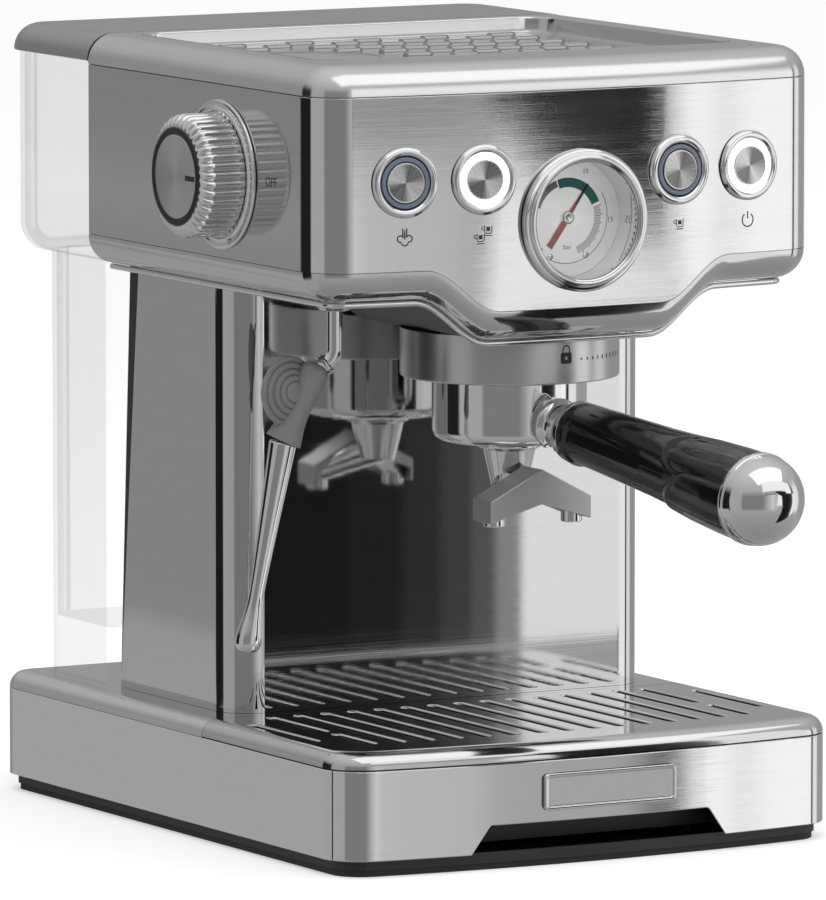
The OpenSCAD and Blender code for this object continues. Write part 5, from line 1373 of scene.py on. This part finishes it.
# ---- Steam pipe grip ----
# Grey silicone grip moulded over the ball joint, so the lower tube can be steered when hot. The
# round pad for the fingers has stepped ridges.
grip_grey = moulded("grip_grey", (0.145, 0.145, 0.147), rough=0.5, fine=1200, depth=0.00002)
down_grip = leaning(24.8)
grip_end = ball_at + down_grip * 33
# Along the grip: (distance from the ball, radius)
SLEEVE = [(-5.6, 1.2), (-5.2, 3.0), (-4.2, 5.0), (-2.4, 6.3), (0, 6.8), (3, 6.9), (7, 6.7), (11, 6.3),
          (15, 6.0), (19, 5.9), (23, 6.3), (27, 7.1), (31, 8.0), (32.6, 8.4), (33, 8.1)]
body = tube_along([ball_at + down_grip * along for along, r in SLEEVE], [r for along, r in SLEEVE], 48)
# The pad stands beside the tube and a little behind it, with its steps towards the front
pad_place = (Matrix.Translation((-118.8, -93.8, 213.1)) @ Matrix.Rotation(radians(12), 4, "Z")
             @ Matrix.Rotation(pi / 2, 4, "X"))
pad = turned([(0, -4.4), (14.6, -2.4), (15.7, -2.0), (15.95, -1.4), (15.8, -0.7), (15.2, -0.3), (13.8, -0.2),
              (13.4, -0.6), (13.1, -0.2), (13.0, 0.5), (12.5, 0.9), (10.9, 1.0), (10.5, 0.6), (10.2, 1.1),
              (10.1, 1.8), (9.6, 2.2), (8.1, 2.3), (7.7, 1.9), (7.4, 2.4), (7.2, 3.0), (6.7, 3.4),
              (5.4, 3.5), (5.0, 3.1), (4.7, 3.6), (4.4, 4.1), (3.9, 4.4), (0, 4.5)], pad_place, 72)
# Web between the pad and the tube
web = tube_along([(-110.2, -94.6, 218.6), (-112.4, -94.4, 213.0), (-113.4, -94.2, 206.0),
                  (-115.6, -93.6, 199.6)], [3.0, 4.0, 4.0, 3.0])
lay(body, WAND)
add_mesh(body, pad)
add_mesh(body, web)
finish_piece("pipe_grip", body, "steam_wand", "grip_grey", grip_grey, "wand_grip", sharp=55)


# ---- Steam tube ----
# Lower tube with the steam tip, plated in one with it: it tapers, then swells to a drop-shaped
# end.
tube_place = WAND @ Matrix.Translation(grip_end) @ Matrix.Rotation(radians(180 - 10.1), 4, "Y")
tube = turned([(0, 0.2), (5.6, 0.25), (6.15, 0.7), (6.2, 2.0), (5.6, 14), (4.9, 29), (4.2, 46), (3.6, 62),
               (3.42, 71), (3.5, 73.5), (3.95, 78), (4.9, 83.2), (5.9, 88.2), (6.25, 91.2), (6.15, 93.4),
               (5.55, 95.2), (4.5, 96.4), (3.5, 96.9), (1.2, 97), (1.2, 92)], tube_place, 72)
finish_piece("tube", tube, "steam_wand", "chrome", chrome, "wand_tube", sharp=50)


# ---- Water tank ----
# Clear moulded tank that lifts out at the back. Its upper part has a rounded lower edge, its
# foot stands on a skirt, and a floor above the skirt carries the valve.
tank_clear = clear("tank_clear", (0.990, 0.991, 0.992), gloss=0.0, rough=0.05, waves=0.02, slant_share=0.24)


def tank_ring(z, inset, half=129.4, front=81.1, rear=164.4):
    """Plan of the tank at a height: the front stays flat, the sides and the back are drawn in."""
    x, y = half - inset, rear - inset
    turn = max(20 - inset, 3)
    return [(px, py, z) for px, py in [(x * s, front) for s in (-1, -0.33, 0.33, 1)]
            + arc(x - turn, y - turn, turn, 0, 90, 10) + arc(turn - x, y - turn, turn, 90, 180, 10)]


def foot_ring(z, inset):
    """Plan of the tank's narrower foot."""
    return tank_ring(z, inset, 115.9, 89.9, 158.7)


def tank_skin(t):
    """Upper part and foot as one sheet, drawn in by t."""
    foot = [foot_ring(z, t) for z in (56.9 if t < 1 else 84, 90, 140, 200, 256.8)]
    edge = [tank_ring(256.5 + 14 * (1 - cos(radians(a))), t + 13.4 * (1 - sin(radians(a))))
            for a in range(8, 91, 8)]
    return loft(foot + edge + [tank_ring(300, t), tank_ring(350.2, t)])


outer = tank_skin(0.05)
inner = tank_skin(2.2)
floor_edges = [e for e in inner.edges if e.is_boundary and e.verts[0].co.z < 100]
bmesh.ops.holes_fill(inner, edges=floor_edges, sides=0)
bmesh.ops.reverse_faces(inner, faces=inner.faces[:])
add_mesh(outer, inner)
# Rim that joins the two skins
loose = [e for e in outer.edges if e.is_boundary and e.verts[0].co.z > 300]
bmesh.ops.bridge_loops(outer, edges=loose)
bmesh.ops.remove_doubles(outer, verts=outer.verts[:], dist=1e-4)
LID_PINS = Matrix.Translation((0, 167, 349.5)) @ Matrix.Rotation(pi / 2, 4, "Y")  # Z along the lid's pins
PIN_X = 70
for x in (-PIN_X, PIN_X):
    add_mesh(outer, plug(2.15, x + 0.05, x + 5.95, LID_PINS, 24))
finish_piece("tank_body", outer, "tank", "clear_plastic", tank_clear, "water_tank", sharp=40, recalc=False)


# ---- Tank lid ----
# Satin steel-coloured lid that carries on the roll of the top to the rear, and lifts on two
# pins at the back.
lid_steel = brushed("lid_steel", (0.52, 0.52, 0.525), rough=0.24, aniso=0.6, grain=0.1, spread=0.03,
                    scale=(1800, 8))
lid = loft([plan(350.7, 0.5, HEAD), plan(351.0, 0.1, HEAD)] + roll(351.05, 363.15, HEAD, 0.08), cap=True)
cut(lid, (0, 80.75, 0), (0, -1, 0))
thicken(lid, 1.9)
# Wall that closes the lid in front
side = [(129.3 - 12.1 * (1 - cos(radians(a))), 350.6 + 11.9 * sin(radians(a))) for a in range(0, 91, 9)]
section = side + [(-x, z) for x, z in side[::-1]]
add_mesh(lid, close_ends(loft([[(x, y, z) for x, z in section] for y in (80.8, 82.4)])))
for x in (-PIN_X, PIN_X):
    add_mesh(lid, plug(1.95, x + 6.4, x + 12.2, LID_PINS, 24))
finish_piece("lid_cover", lid, "lid", "case_steel", lid_steel, "tank_lid", sharp=30, level=True)


# ---- Parts inside and under the case ----
# Left as built, with finishes of their own: turned brass and steel, moulded plastic, rubber,
# the green board and translucent hose.
def solid_metal(name, color, rough):
    """Metal on object coordinates, with faint blotches and tool marks."""
    made = new_paint(name, {"Metallic": 1})
    nt = made.node_tree
    marks = (noise(nt, (new_node(nt, "TexCoord"), "Object"), 60, 4), "Fac")
    vary(made, marks, (darker(color, 0.82), color), (max(rough - 0.08, 0.03), rough + 0.08))
    bump_on(nt, marks, 0.3, 0.00003, nt.nodes["Principled BSDF"])
    return made


turned_brass = solid_metal("turned_brass", (0.62, 0.46, 0.22), 0.28)
plain_steel = solid_metal("plain_steel", (0.58, 0.58, 0.59), 0.3)
plated = solid_metal("plated", (0.75, 0.75, 0.76), 0.14)
dark_plastic = moulded("dark_plastic", (0.05, 0.05, 0.053), rough=0.5)
soft_rubber = moulded("soft_rubber", (0.012, 0.012, 0.012), rough=0.6, fine=500)
board_green = moulded("board_green", (0.03, 0.17, 0.07), rough=0.3, fine=2000, depth=0.00001)
hose = moulded("hose", (0.6, 0.6, 0.55), rough=0.25, fine=100, depth=0.00001, coat=0.3)
FINISH = {"case_steel": plain_steel, "chrome": plated, "steel": plain_steel, "satin_alloy": plain_steel,
          "brass": turned_brass, "rubber": soft_rubber, "black_plastic": black_plastic,
          "dark_plastic": dark_plastic, "board_green": board_green, "line_plastic": hose}
slot_of = {row["node"]: row["material_slot"] for row in frame["record"]["subparts"]}
for name, obj in frame["nodes"].items():
    if not obj.hide_render:
        for row in obj.material_slots:
            row.material = FINISH[slot_of[name]]
